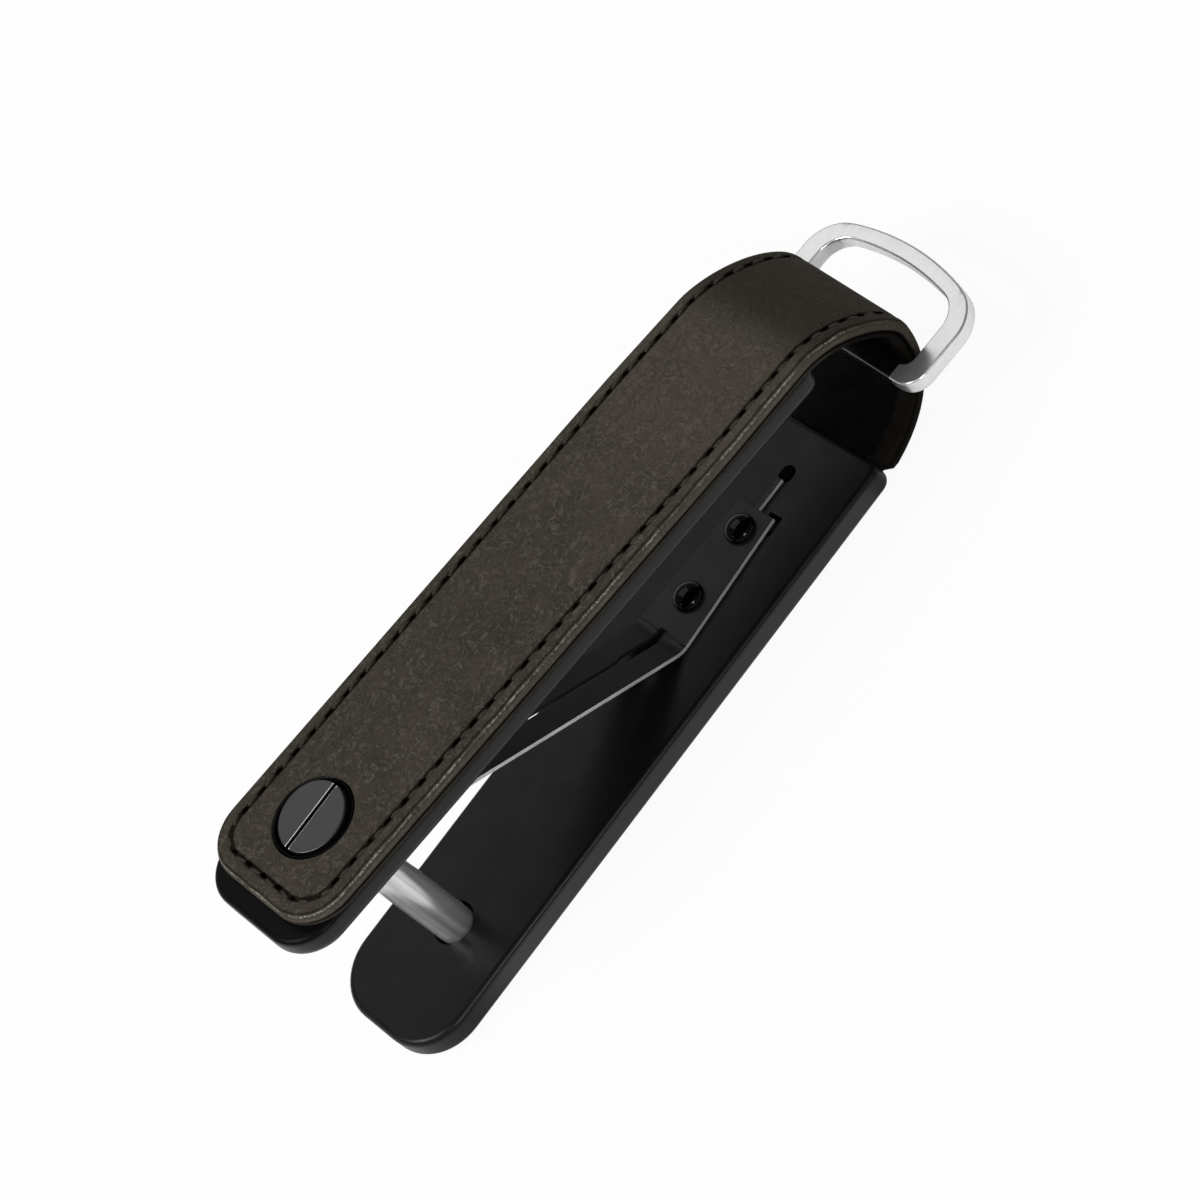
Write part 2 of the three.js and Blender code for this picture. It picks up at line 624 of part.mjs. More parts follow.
/** D-ring about its own middle, lying level. */
function dRing() {
  const innerHalf = STRAP_LOOP_WIDTH / 2 + RING_SIDE_CLEARANCE;
  const start = -RING_LENGTH / 2;
  const outline = ringOutline(new THREE.Shape(), {
    start,
    end: start + RING_LENGTH,
    half: innerHalf + RING_ARM,
    barRadius: RING_BAR_RADIUS,
    bowRadius: RING_BOW_RADIUS,
  });
  const opening = ringOutline(new THREE.Path(), {
    start: start + RING_BAR,
    end: start + RING_LENGTH - RING_BOW,
    half: innerHalf,
    barRadius: RING_BAR_RADIUS / 2,
    bowRadius: RING_BOW_RADIUS - RING_BOW / 2,
  });
  outline.holes.push(opening);
  return blank(outline, -RING_THICKNESS / 2, RING_THICKNESS / 2, RING_EDGE);
}

/** Finishes, as colour, roughness and metalness. */
const FINISHES = {
  leather: { color: 0x3b352e, roughness: 0.85, metalness: 0.0 },
  lining: { color: 0x0e0e0f, roughness: 0.7, metalness: 0.0 },
  plate: { color: 0x111112, roughness: 0.4, metalness: 0.3 },
  spring: { color: 0x1a1a1b, roughness: 0.35, metalness: 0.8 },
  rivet: { color: 0x0a0a0a, roughness: 0.15, metalness: 0.8 },
  gunmetal: { color: 0x2c2c2e, roughness: 0.4, metalness: 0.9 },
  steel: { color: 0xb9b8b4, roughness: 0.25, metalness: 1.0 },
};

/** Named mesh of one sub-part. */
function piece(name, geometry, finish) {
  const mesh = new THREE.Mesh(geometry, new THREE.MeshStandardMaterial(FINISHES[finish]));
  mesh.name = name;
  return mesh;
}

const [frontRivet, rearRivet] = rivetStations();
const lowerHalf = new THREE.Group();
lowerHalf.add(
  piece('lower_plate', lowerPlate(), 'plate'),
  piece('strap_lower_leather', strapLowerLeather(), 'leather'),
  piece('strap_lower_lining', strapLowerLining(), 'lining'),
  piece('barrel_post', barrelPost(), 'steel'),
  piece('spring_base', springBase(), 'spring'),
  piece('spring_finger_near', springFinger(-1), 'spring'),
  piece('spring_finger_far', springFinger(1), 'spring'),
  piece('rivet_front', rivet(frontRivet), 'rivet'),
  piece('rivet_rear', rivet(rearRivet), 'rivet'),
  piece('clamp_screw', clampScrew(), 'gunmetal'),
);

arm.add(
  piece('upper_plate', upperPlate(), 'plate'),
  piece('strap_upper_leather', strapUpperLeather(), 'leather'),
  piece('strap_upper_lining', strapUpperLining(), 'lining'),
  piece('screw_eyelet', screwEyelet(), 'rivet'),
);

const ring = piece('d_ring', dRing(), 'steel');
ring.position.set(RING_START + RING_LENGTH / 2, 0, APEX.y - RING_DROP);
ring.rotation.z = -LOOP_SKEW;

// The origin lies under the middle of the whole organizer, from the lower plate's end to the ring's bow.
const keyOrganizer = new THREE.Group();
keyOrganizer.add(lowerHalf, arm, ring);
const middle = new THREE.Box3().setFromObject(keyOrganizer, true).getCenter(new THREE.Vector3());
keyOrganizer.position.x = -middle.x;

export default keyOrganizer;
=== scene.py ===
"""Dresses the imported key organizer: a folded leather strap on two black plates, with a leaf spring, a post
and its screw, and a D-ring, on a pale studio floor."""

import logging
import math
from bisect import bisect_right
from collections.abc import Callable, Sequence
from dataclasses import dataclass, field
from enum import Enum
from functools import cache

import bmesh
import bpy
from mathutils import Matrix, Vector, noise
from mathutils.geometry import interpolate_bezier


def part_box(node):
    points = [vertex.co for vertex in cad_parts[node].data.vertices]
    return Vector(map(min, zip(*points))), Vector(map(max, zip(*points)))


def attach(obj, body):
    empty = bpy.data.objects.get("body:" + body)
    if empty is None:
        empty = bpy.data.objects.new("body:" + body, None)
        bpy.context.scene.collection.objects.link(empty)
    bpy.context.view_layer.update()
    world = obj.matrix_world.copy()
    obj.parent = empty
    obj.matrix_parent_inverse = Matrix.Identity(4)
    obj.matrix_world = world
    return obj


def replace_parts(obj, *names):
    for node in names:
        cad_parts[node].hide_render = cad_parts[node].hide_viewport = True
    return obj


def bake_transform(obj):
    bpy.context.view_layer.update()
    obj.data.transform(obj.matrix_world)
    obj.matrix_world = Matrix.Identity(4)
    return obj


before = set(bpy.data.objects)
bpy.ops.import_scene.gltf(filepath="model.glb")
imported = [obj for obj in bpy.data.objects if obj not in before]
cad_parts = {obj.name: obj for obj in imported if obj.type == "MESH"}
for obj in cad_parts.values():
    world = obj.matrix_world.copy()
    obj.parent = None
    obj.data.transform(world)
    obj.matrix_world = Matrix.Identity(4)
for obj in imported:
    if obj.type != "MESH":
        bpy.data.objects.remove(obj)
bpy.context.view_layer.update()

log = logging.getLogger("key_organizer")

Colour = tuple[float, float, float]
Point = tuple[float, float, float]
Range = tuple[float, float]
Band = tuple[float, float, float, float]

# Sizes are in millimetres, and each mesh is brought to metres when it is finished.
MM = 0.001
# Divisions of a full turn.
ROUND_STEPS = 64
# Distance within which two points are one.
WELD = 1e-4
# Distance within which a point lies on a cut.
TOUCH = 1e-5
# Distance within which points lie on one level.
LEVEL = 1e-3
# Angle within which two faces are one.
FLAT = math.radians(0.5)
# Least share of Z in the direction of an upright edge.
UPRIGHT = 0.99
# The range that cloudy noise mostly keeps to.
SPREAD: Range = (0.3, 0.7)


def grey(level: float) -> Colour:
    """A neutral colour of that level."""
    return level, level, level


class Axis(Enum):
    """Directions of the row frame."""

    X = Vector((1, 0, 0))
    Y = Vector((0, 1, 0))
    Z = Vector((0, 0, 1))


class Pattern(Enum):
    """Where a finish reads its pattern from."""

    PLACE = "place"
    SURFACE = "flat"
    MARGINS = "margins"


class Reading:
    """A number given by a node, on which Python's operators add Math nodes."""

    def __init__(self, graph: "Graph", socket: bpy.types.NodeSocket) -> None:
        """Wraps an output socket of the graph."""
        self.graph = graph
        self.socket = socket

    def _math(self, operation: str, first: object, second: object) -> "Reading":
        """Adds one Math node.

        Args:
            operation: The Math node's operation.
            first: The first number or reading.
            second: The second number or reading.

        Returns:
            The node's result.
        """
        return self.graph.read("ShaderNodeMath", {"operation": operation}, {0: first, 1: second})

    def __add__(self, other: object) -> "Reading":
        """Sum."""
        return self._math("ADD", self, other)

    def __sub__(self, other: object) -> "Reading":
        """Difference."""
        return self._math("SUBTRACT", self, other)

    def __rsub__(self, other: object) -> "Reading":
        """Difference from a number."""
        return self._math("SUBTRACT", other, self)

    def __mul__(self, other: object) -> "Reading":
        """Product."""
        return self._math("MULTIPLY", self, other)

    def __pow__(self, other: object) -> "Reading":
        """Power."""
        return self._math("POWER", self, other)

    def at_most(self, other: object) -> "Reading":
        """The lesser of the two."""
        return self._math("MINIMUM", self, other)

    def at_least(self, other: object) -> "Reading":
        """The greater of the two."""
        return self._math("MAXIMUM", self, other)

    def step(self, low: float, high: float, start: float = 0.0, end: float = 1.0) -> "Reading":
        """Maps a range smoothly onto another one.

        Args:
            low: Reading at which the result is start.
            high: Reading at which the result is end.
            start: Result at low and beyond.
            end: Result at high and beyond.

        Returns:
            The mapped reading.
        """
        settings = {"interpolation_type": "SMOOTHSTEP"}
        values = {"Value": self, "From Min": low, "From Max": high, "To Min": start, "To Max": end}
        return self.graph.read("ShaderNodeMapRange", settings, values)

    def band(self, start: float, full: float, fade: float, end: float) -> "Reading":
        """1 inside a band of readings and 0 outside it, with smooth sides.

        Args:
            start: Reading at which the band begins.
            full: Reading from which it is 1.
            fade: Reading up to which it is 1.
            end: Reading at which it is over.

        Returns:
            The band.
        """
        return self.step(start, full) * self.step(fade, end, 1.0, 0.0)


class Graph:
    """The nodes of one material or of the world."""

    def __init__(self, tree: bpy.types.NodeTree) -> None:
        """Starts with an empty tree."""
        self.tree = tree
        tree.nodes.clear()

    def node(self, kind: str, settings: dict | None = None, values: dict | None = None) -> bpy.types.Node:
        """Adds a node.

        Args:
            kind: The node's type.
            settings: Properties of the node, set first.
            values: Numbers, colours or readings for its sockets, by name or index.

        Returns:
            The node.
        """
        node = self.tree.nodes.new(kind)
        for name, value in (settings or {}).items():
            setattr(node, name, value)
        for name, value in (values or {}).items():
            if isinstance(value, Reading):
                self.tree.links.new(value.socket, node.inputs[name])
            else:
                node.inputs[name].default_value = value
        return node

    def read(self, kind: str, settings: dict | None = None, values: dict | None = None,
             output: str | int = 0) -> Reading:
        """Adds a node and reads one of its outputs.

        Args:
            kind: The node's type.
            settings: Properties of the node.
            values: Numbers, colours or readings for its sockets.
            output: The output's name or index.

        Returns:
            The output.
        """
        return Reading(self, self.node(kind, settings, values).outputs[output])

    def vector(self, operation: str, *inputs: Reading | Point) -> Reading:
        """Adds a Vector Math node.

        Args:
            operation: The node's operation.
            inputs: Its vectors, in order.

        Returns:
            The node's result.
        """
        return self.read("ShaderNodeVectorMath", {"operation": operation}, dict(enumerate(inputs)))

    def place(self, pattern: Pattern, stretch: Point = (1.0, 1.0, 1.0)) -> Reading:
        """Reads the place on the piece in millimetres.

        Args:
            pattern: Whether the place is that in the frame, that on the flat blank or the distances from the
                blank's edges.
            stretch: Factors along the three axes.

        Returns:
            The place.
        """
        if pattern is Pattern.PLACE:
            base = self.read("ShaderNodeTexCoord", output="Object")
            factors = tuple(f / MM for f in stretch)
        else:
            base = self.read("ShaderNodeAttribute", {"attribute_name": pattern.value}, output="Vector")
            factors = stretch
        return self.vector("MULTIPLY", base, factors)

    def noise(self, place: Reading, scale: float, detail: float = 3.0, roughness: float = 0.55,
              distortion: float = 0.0) -> Reading:
        """Adds cloudy noise.

        Args:
            place: Where it is read.
            scale: Its frequency per millimetre.
            detail: Number of octaves.
            roughness: Weight of the finer octaves.
            distortion: How far it is warped.

        Returns:
            The noise, about 0.5.
        """
        values = {"Vector": place, "Scale": scale, "Detail": detail, "Roughness": roughness,
                  "Distortion": distortion}
        return self.read("ShaderNodeTexNoise", None, values)

    def wave(self, place: Reading, direction: str, scale: float, distortion: float) -> Reading:
        """Adds even bands.

        Args:
            place: Where they are read.
            direction: The axis that they follow one another along, X or Y.
            scale: Their frequency.
            distortion: How far they are warped.

        Returns:
            The bands, from 0 to 1.
        """
        settings = {"wave_type": "BANDS", "bands_direction": direction}
        values = {"Vector": place, "Scale": scale, "Distortion": distortion}
        return self.read("ShaderNodeTexWave", settings, values, "Fac")

    def rays(self) -> tuple[Reading, Reading]:
        """Tells camera rays and glossy rays from the others."""
        path = self.node("ShaderNodeLightPath")
        return Reading(self, path.outputs["Is Camera Ray"]), Reading(self, path.outputs["Is Glossy Ray"])

    def part(self, place: Reading, axis: int) -> Reading:
        """One coordinate of a place."""
        return self.read("ShaderNodeSeparateXYZ", None, {0: place}, axis)

    def blend(self, share: Reading, first: Colour | Reading, second: Colour | Reading) -> Reading:
        """Mixes two colours.

        Args:
            share: Share of the second colour.
            first: The first colour.
            second: The second colour.

        Returns:
            The mixed colour.
        """
        colours = [c if isinstance(c, Reading) else (*c, 1.0) for c in (first, second)]
        settings = {"data_type": "RGBA", "clamp_factor": True}
        return self.read("ShaderNodeMix", settings, {0: share, 6: colours[0], 7: colours[1]}, 2)

    def bump(self, height: Reading, depth: float, strength: float) -> Reading:
        """Turns a height into a normal.

        Args:
            height: The height, from 0 to 1.
            depth: What a height of 1 stands for, in millimetres.
            strength: Strength of the effect.

        Returns:
            The normal.
        """
        values = {"Height": height, "Distance": depth * MM, "Strength": strength}
        return self.read("ShaderNodeBump", None, values)

    def surface(self, values: dict) -> None:
        """Adds the shader and links it to the output.

        Args:
            values: Numbers, colours and readings for the shader's sockets.
        """
        shader = self.read("ShaderNodeBsdfPrincipled", None, values)
        self.node("ShaderNodeOutputMaterial", None, {"Surface": shader})


@dataclass(frozen=True)
class Finish:
    """A finish, which becomes one material."""

    name: str

    @cache
    def material(self) -> bpy.types.Material:
        """The material, made once."""
        material = bpy.data.materials.new(self.name)
        material.use_nodes = True
        self.paint(Graph(material.node_tree))
        return material

    def paint(self, graph: Graph) -> None:
        """Adds the finish's nodes to a graph."""
        raise NotImplementedError


@dataclass(frozen=True, kw_only=True)
class Nubuck(Finish):
    """Dark olive brown leather: fine wrinkles, a seam inside its border and a rolled edge with pale lines.

    Runs are counted along the flat strap from the screw end, levels and depths from its outer face.
    """

    dark: Colour = (0.0315, 0.0275, 0.0207)
    light: Colour = (0.0660, 0.0578, 0.0450)
    crease: Colour = (0.0960, 0.0875, 0.0720)
    pale: Colour = (0.2700, 0.2550, 0.2200)
    shade: Colour = (0.0016, 0.0013, 0.0008)
    bent: Colour = (0.0265, 0.0218, 0.0168)
    wall: Colour = (0.0930, 0.0825, 0.0665)
    lighter_run: Range = (42.0, 74.0)
    bend_run: Range = (75.5, 81.5)
    loop_run: Range = (82.0, 93.0)
    under_run: Range = (96.0, 103.0)
    wall_level: Range = (-0.62, -0.46)
    under_level: Range = (-0.6, -0.25)
    ridge_depth: Band = (0.20, 0.27, 0.36, 0.46)
    second_depth: Band = (0.70, 0.78, 0.84, 0.94)
    edge_shade_depth: Band = (0.03, 0.10, 0.15, 0.22)
    foot_shade_depth: Range = (1.02, 1.25)
    sway: float = 0.2
    turns: tuple[float, ...] = (15.0, 62.0, 108.0, 152.0)
    stroke: Point = (0.9, 3.1, 1.0)
    stroke_offset: float = 17.0
    patch_offset: float = 31.0
    warp: float = 1.6
    corner: float
    seam: float
    end_seam: float
    seam_half: Range = (0.18, 0.48)
    darkest: float = 0.88
    rough: Range = (0.9, 0.74)
    shine: float = 0.05
    relief: Range = (0.2, 0.9)

    def paint(self, graph: Graph) -> None:
        """Adds clouds, grain and wrinkles that follow the flat strap, its seam and its edge.

        Args:
            graph: The material's nodes.
        """
        flat = graph.place(Pattern.SURFACE)
        run, level = graph.part(flat, 0), graph.part(flat, 2)
        clouds = graph.noise(flat, 0.13, detail=4.0, roughness=0.6)
        grain = graph.noise(flat, 3.0, roughness=0.6, distortion=0.4)
        folds = self._creases(graph, flat)
        # Painted shade in the seam's groove.
        groove = self._seam_shade(graph, flat)
        ridge, edge_shade = self._rim(graph, flat)
        tone = grain.step(*SPREAD) * 0.3 + clouds.step(*SPREAD) * 0.25 + folds.step(0.36, 0.64) * 0.45
        # Lighter along the strap towards the bend.
        tone = tone + run.step(*self.lighter_run) * 0.4
        skin = graph.blend(tone, self.dark, self.light)
        skin = graph.blend(folds.step(0.57, 0.7) * 0.5, skin, self.crease)
        # Darker from the bend on, a little less so further round the loop.
        bent = run.step(*self.bend_run) * 0.75 - run.step(*self.loop_run) * 0.35
        skin = graph.blend(bent, skin, self.bent)
        straight = run.step(*self.loop_run, 1.0, 0.0)
        skin = graph.blend(level.step(*self.wall_level, 0.5, 0.0) * straight, skin, self.wall)
        # Pale broken lines along the rolled edge, on the straight runs.
        specks = graph.noise(flat, 3.6, detail=2.0, roughness=0.6).step(0.42, 0.62, 0.16, 1.0)
        pale_edges = graph.blend(ridge * specks * straight, skin, self.pale)
        # Painted shade on the walls and inner face of the lower half, from the loop on.
        shaded = run.step(*self.under_run) * level.step(*self.under_level, 0.85, 0.0)
        height = grain * 0.25 + folds * 0.8 - groove * 0.7 + ridge * 0.3
        graph.surface({
            # Painted shade in the seam, at the edge and on the lower half, blended in up to the darkest
            # share.
            "Base Color": graph.blend((groove + edge_shade + shaded).at_most(self.darkest), pale_edges, self.shade),
            "Roughness": grain.step(*SPREAD, *self.rough),
            "Specular IOR Level": self.shine,
            "Normal": graph.bump(height, *self.relief),
        })

    def _creases(self, graph: Graph, flat: Reading) -> Reading:
        """Short strokes in several directions, each in its own patches.

        Args:
            graph: The material's nodes.
            flat: The place on the flat strap.

        Returns:
            The strokes' height, about 0.5.
        """
        values = {"Vector": flat, "Scale": 0.9, "Detail": 2.0}
        swirl = graph.read("ShaderNodeTexNoise", None, values, "Color")
        warped = graph.vector("MULTIPLY_ADD", swirl, grey(self.warp), flat)
        strokes = 0.5
        for i, turn in enumerate(self.turns):
            values = {"Vector": warped, "Angle": math.radians(turn)}
            swung = graph.read("ShaderNodeVectorRotate", {"rotation_type": "Z_AXIS"}, values)
            long = graph.vector("MULTIPLY_ADD", swung, self.stroke, grey(self.stroke_offset * i))
            moved = graph.vector("ADD", flat, grey(self.patch_offset * i))
            patch = graph.noise(moved, 0.5, detail=1.0).step(0.42, 0.58)
            strokes = (graph.noise(long, 1.0, detail=2.0, distortion=0.3) - 0.5) * patch + strokes
        return strokes

    def _seam_shade(self, graph: Graph, flat: Reading) -> Reading:
        """Painted shade in the seam, from the distances to the strap's end and side, round its corners.

        Args:
            graph: The material's nodes.
            flat: The place on the flat strap.

        Returns:
            1 in the middle of the line and 0 beside it.
        """
        margins = graph.place(Pattern.MARGINS)
        end, side = ((self.corner - graph.part(margins, i)).at_least(0.0) for i in (0, 1))
        end = end * ((self.corner - self.seam) / (self.corner - self.end_seam))
        away = (end * end + side * side) ** 0.5 + (self.seam - self.corner)
        wander = (graph.noise(flat, 1.4, detail=1.0) - 0.5) * self.sway
        return (away.at_least(away * -1.0) + wander).step(*self.seam_half, 1.0, 0.0)

    def _rim(self, graph: Graph, flat: Reading) -> tuple[Reading, Reading]:
        """The broken pale lines on the rolled edge, and painted shade in lines above and below them.

        Args:
            graph: The material's nodes.
            flat: The place on the flat strap.

        Returns:
            The pale lines and the painted shade, from 0 to 1.
        """
        breaks = graph.noise(flat, 0.24, roughness=0.6)
        wander = (graph.noise(flat, 0.35, detail=2.0) - 0.5) * self.sway
        depth = wander - graph.part(flat, 2)
        ridge = depth.band(*self.ridge_depth) * breaks.step(0.38, 0.58, 0.1, 1.0)
        second = depth.band(*self.second_depth) * breaks.step(0.46, 0.6) * 0.35
        # Painted shade in a line above the pale ones and at the foot of the edge.
        edge_shade = depth.band(*self.edge_shade_depth) * 0.6 + depth.step(*self.foot_shade_depth) * 0.9
        return (ridge + second).at_most(1.0), edge_shade


@dataclass(frozen=True)
class CutEdge(Finish):
    """The raw edge of the lining's backing, in fine layers that run along it."""

    dark: Colour = (0.0120, 0.0104, 0.0080)
    light: Colour = (0.0480, 0.0415, 0.0325)
    # Painted shade for the edge in the loop and beyond it.
    bent: Colour = (0.0050, 0.0042, 0.0032)
    loop_run: Range = (78.0, 86.0)
    layering: Point = (0.35, 0.35, 5.0)
    rough: Range = (0.9, 0.7)
    shine: float = 0.05
    relief: Range = (0.1, 0.7)

    def paint(self, graph: Graph) -> None:
        """Adds the layers and some frayed spots, with painted shade where the edge runs into the loop.

        Args:
            graph: The material's nodes.
        """
        flat = graph.place(Pattern.SURFACE)
        layers = graph.noise(graph.place(Pattern.SURFACE, self.layering), 1.0, roughness=0.6)
        frayed = graph.noise(flat, 1.2)
        straight = graph.blend(layers * 0.6 + frayed * 0.4, self.dark, self.light)
        graph.surface({
            "Base Color": graph.blend(graph.part(flat, 0).step(*self.loop_run), straight, self.bent),
            "Roughness": frayed.step(*SPREAD, *self.rough),
            "Specular IOR Level": self.shine,
            "Normal": graph.bump(layers, *self.relief),
        })


@dataclass(frozen=True)
class Thread(Finish):
    """Waxed dark sewing thread, twisted from thin strands."""

    dark: Colour = (0.0220, 0.0195, 0.0155)
    light: Colour = (0.0680, 0.0600, 0.0480)
    shine: float = 0.08
    twist: float = 1.5
    rough: Range = (0.7, 0.5)
    relief: Range = (0.07, 0.7)

    def paint(self, graph: Graph) -> None:
        """Adds the slanting strands of the twist.

        Args:
            graph: The material's nodes.
        """
        flat = graph.place(Pattern.SURFACE)
        slanting = graph.part(flat, 0) + graph.part(flat, 1) * self.twist
        turned = graph.read("ShaderNodeCombineXYZ", None, {"X": slanting})
        strands = graph.wave(turned, "X", 0.75, 0.4)
        fuzz = graph.noise(flat, 3.0)
        graph.surface({
            "Base Color": graph.blend(strands * 0.6 + fuzz * 0.4, self.dark, self.light),
            "Roughness": fuzz.step(*SPREAD, *self.rough),
            "Specular IOR Level": self.shine,
            "Normal": graph.bump(strands, *self.relief),
        })


@dataclass(frozen=True)
class Lining(Finish):
    """Thin black woven lining, with the folded hem along its sides, its olive darkened by painted shade."""

    dark: Colour = grey(0.0008)
    light: Colour = grey(0.0042)
    # The hem's own olive, darkened as painted shade.
    hem: Colour = (0.0110, 0.0094, 0.0072)
    hem_edge: Range = (2.3, 2.6)
    rough: Range = (0.85, 0.68)
    shine: float = 0.07
    relief: Range = (0.06, 0.6)

    def paint(self, graph: Graph) -> None:
        """Adds the two sets of threads of the weave, along and across the strap, and the hem.

        Args:
            graph: The material's nodes.
        """
        flat = graph.place(Pattern.SURFACE)
        along, across = (graph.wave(flat, direction, 1.0, 0.3) for direction in "XY")
        weave = along * 0.5 + across * 0.5
        wear = graph.noise(flat, 0.4)
        side = graph.part(graph.place(Pattern.MARGINS), 1)
        hem = side.step(*self.hem_edge, 1.0, 0.0) * wear.step(*SPREAD, 0.4, 1.0)
        cloth = graph.blend(weave * 0.5 + wear * 0.5, self.dark, self.light)
        graph.surface({
            "Base Color": graph.blend(hem, cloth, self.hem),
            "Roughness": wear.step(*SPREAD, *self.rough),
            "Specular IOR Level": self.shine,
            "Normal": graph.bump(weave, *self.relief),
        })


@dataclass(frozen=True)
class BlackCoat(Finish):
    """Hard satin black coat, with faint dust in its grain, a little rubbing and, on some pieces, a polish."""

    dark: Colour = grey(0.0040)
    light: Colour = grey(0.0080)
    smooth: float = 0.28
    matt: float = 0.40
    grain: float = 0.004
    shine: float = 0.2
    polish: float = 0.0
    polished: Band = (-44.3, -35.0, 25.0, 29.0)

    def paint(self, graph: Graph) -> None:
        """Adds the fine grain of the coat and its rubbed patches, and a polish that fades out along X.

        Args:
            graph: The material's nodes.
        """
        place = graph.place(Pattern.PLACE)
        grain = graph.noise(place, 5.5, roughness=0.6)
        rubbed = graph.noise(place, 0.28, detail=4.0, roughness=0.6)
        values = {
            "Base Color": graph.blend(grain * 0.5 + rubbed * 0.5, self.dark, self.light),
            "Roughness": (rubbed * 0.7 + grain * 0.3).step(*SPREAD, self.smooth, self.matt),
            "Specular IOR Level": self.shine,
            "Normal": graph.bump(grain, self.grain, strength=0.5),
        }
        if self.polish:
            values["Coat Weight"] = graph.part(place, 0).band(*self.polished) * self.polish
            values["Coat Roughness"] = self.smooth
        graph.surface(values)


@dataclass(frozen=True)
class BrushedMetal(Finish):
    """Bare metal with fine brushing in one direction."""

    dark: Colour = grey(0.30)
    light: Colour = grey(0.62)
    smooth: float = 0.2
    matt: float = 0.38
    brush: Point = (0.12, 7.0, 7.0)
    broad: Point = (0.05, 1.1, 1.1)
    depth: float = 0.012
    metal: float = 1.0

    def paint(self, graph: Graph) -> None:
        """Adds fine brush lines over broader streaks.

        Args:
            graph: The material's nodes.
        """
        fine = graph.noise(graph.place(Pattern.PLACE, self.brush), 1.0, roughness=0.6)
        broad = graph.noise(graph.place(Pattern.PLACE, self.broad), 1.0)
        tone = (fine * 0.55 + broad * 0.45).step(0.32, 0.68)
        values = {
            "Base Color": graph.blend(tone, self.dark, self.light),
            "Roughness": broad.step(*SPREAD, self.smooth, self.matt),
            "Metallic": self.metal,
        }
        if self.depth:
            values["Normal"] = graph.bump(fine, self.depth, strength=0.6)
        graph.surface(values)


@dataclass(frozen=True)
class StudioFloor(Finish):
    """White paper floor that shows as the bright background and keeps the soft shadow."""

    paper: Colour = grey(0.86)
    fibres: Colour = grey(0.88)
    direct: float = 0.93
    mirrored: float = 0.3

    def paint(self, graph: Graph) -> None:
        """Adds the paper, shown as white to the camera and with more of its shadow in reflections.

        Args:
            graph: The material's nodes.
        """
        direct, glossy = graph.rays()
        share = (direct * self.direct).at_least(glossy * self.mirrored)
        fibre = graph.noise(graph.place(Pattern.PLACE), 0.4, detail=2.0)
        colour = graph.blend(fibre, self.paper, self.fibres)
        paper = graph.read("ShaderNodeBsdfDiffuse", None, {"Color": colour})
        white = graph.read("ShaderNodeEmission", None, {"Color": (*grey(1.0), 1.0), "Strength": 1.0})
        surface = graph.read("ShaderNodeMixShader", None, {0: share, 1: paper, 2: white})
        graph.node("ShaderNodeOutputMaterial", None, {"Surface": surface})


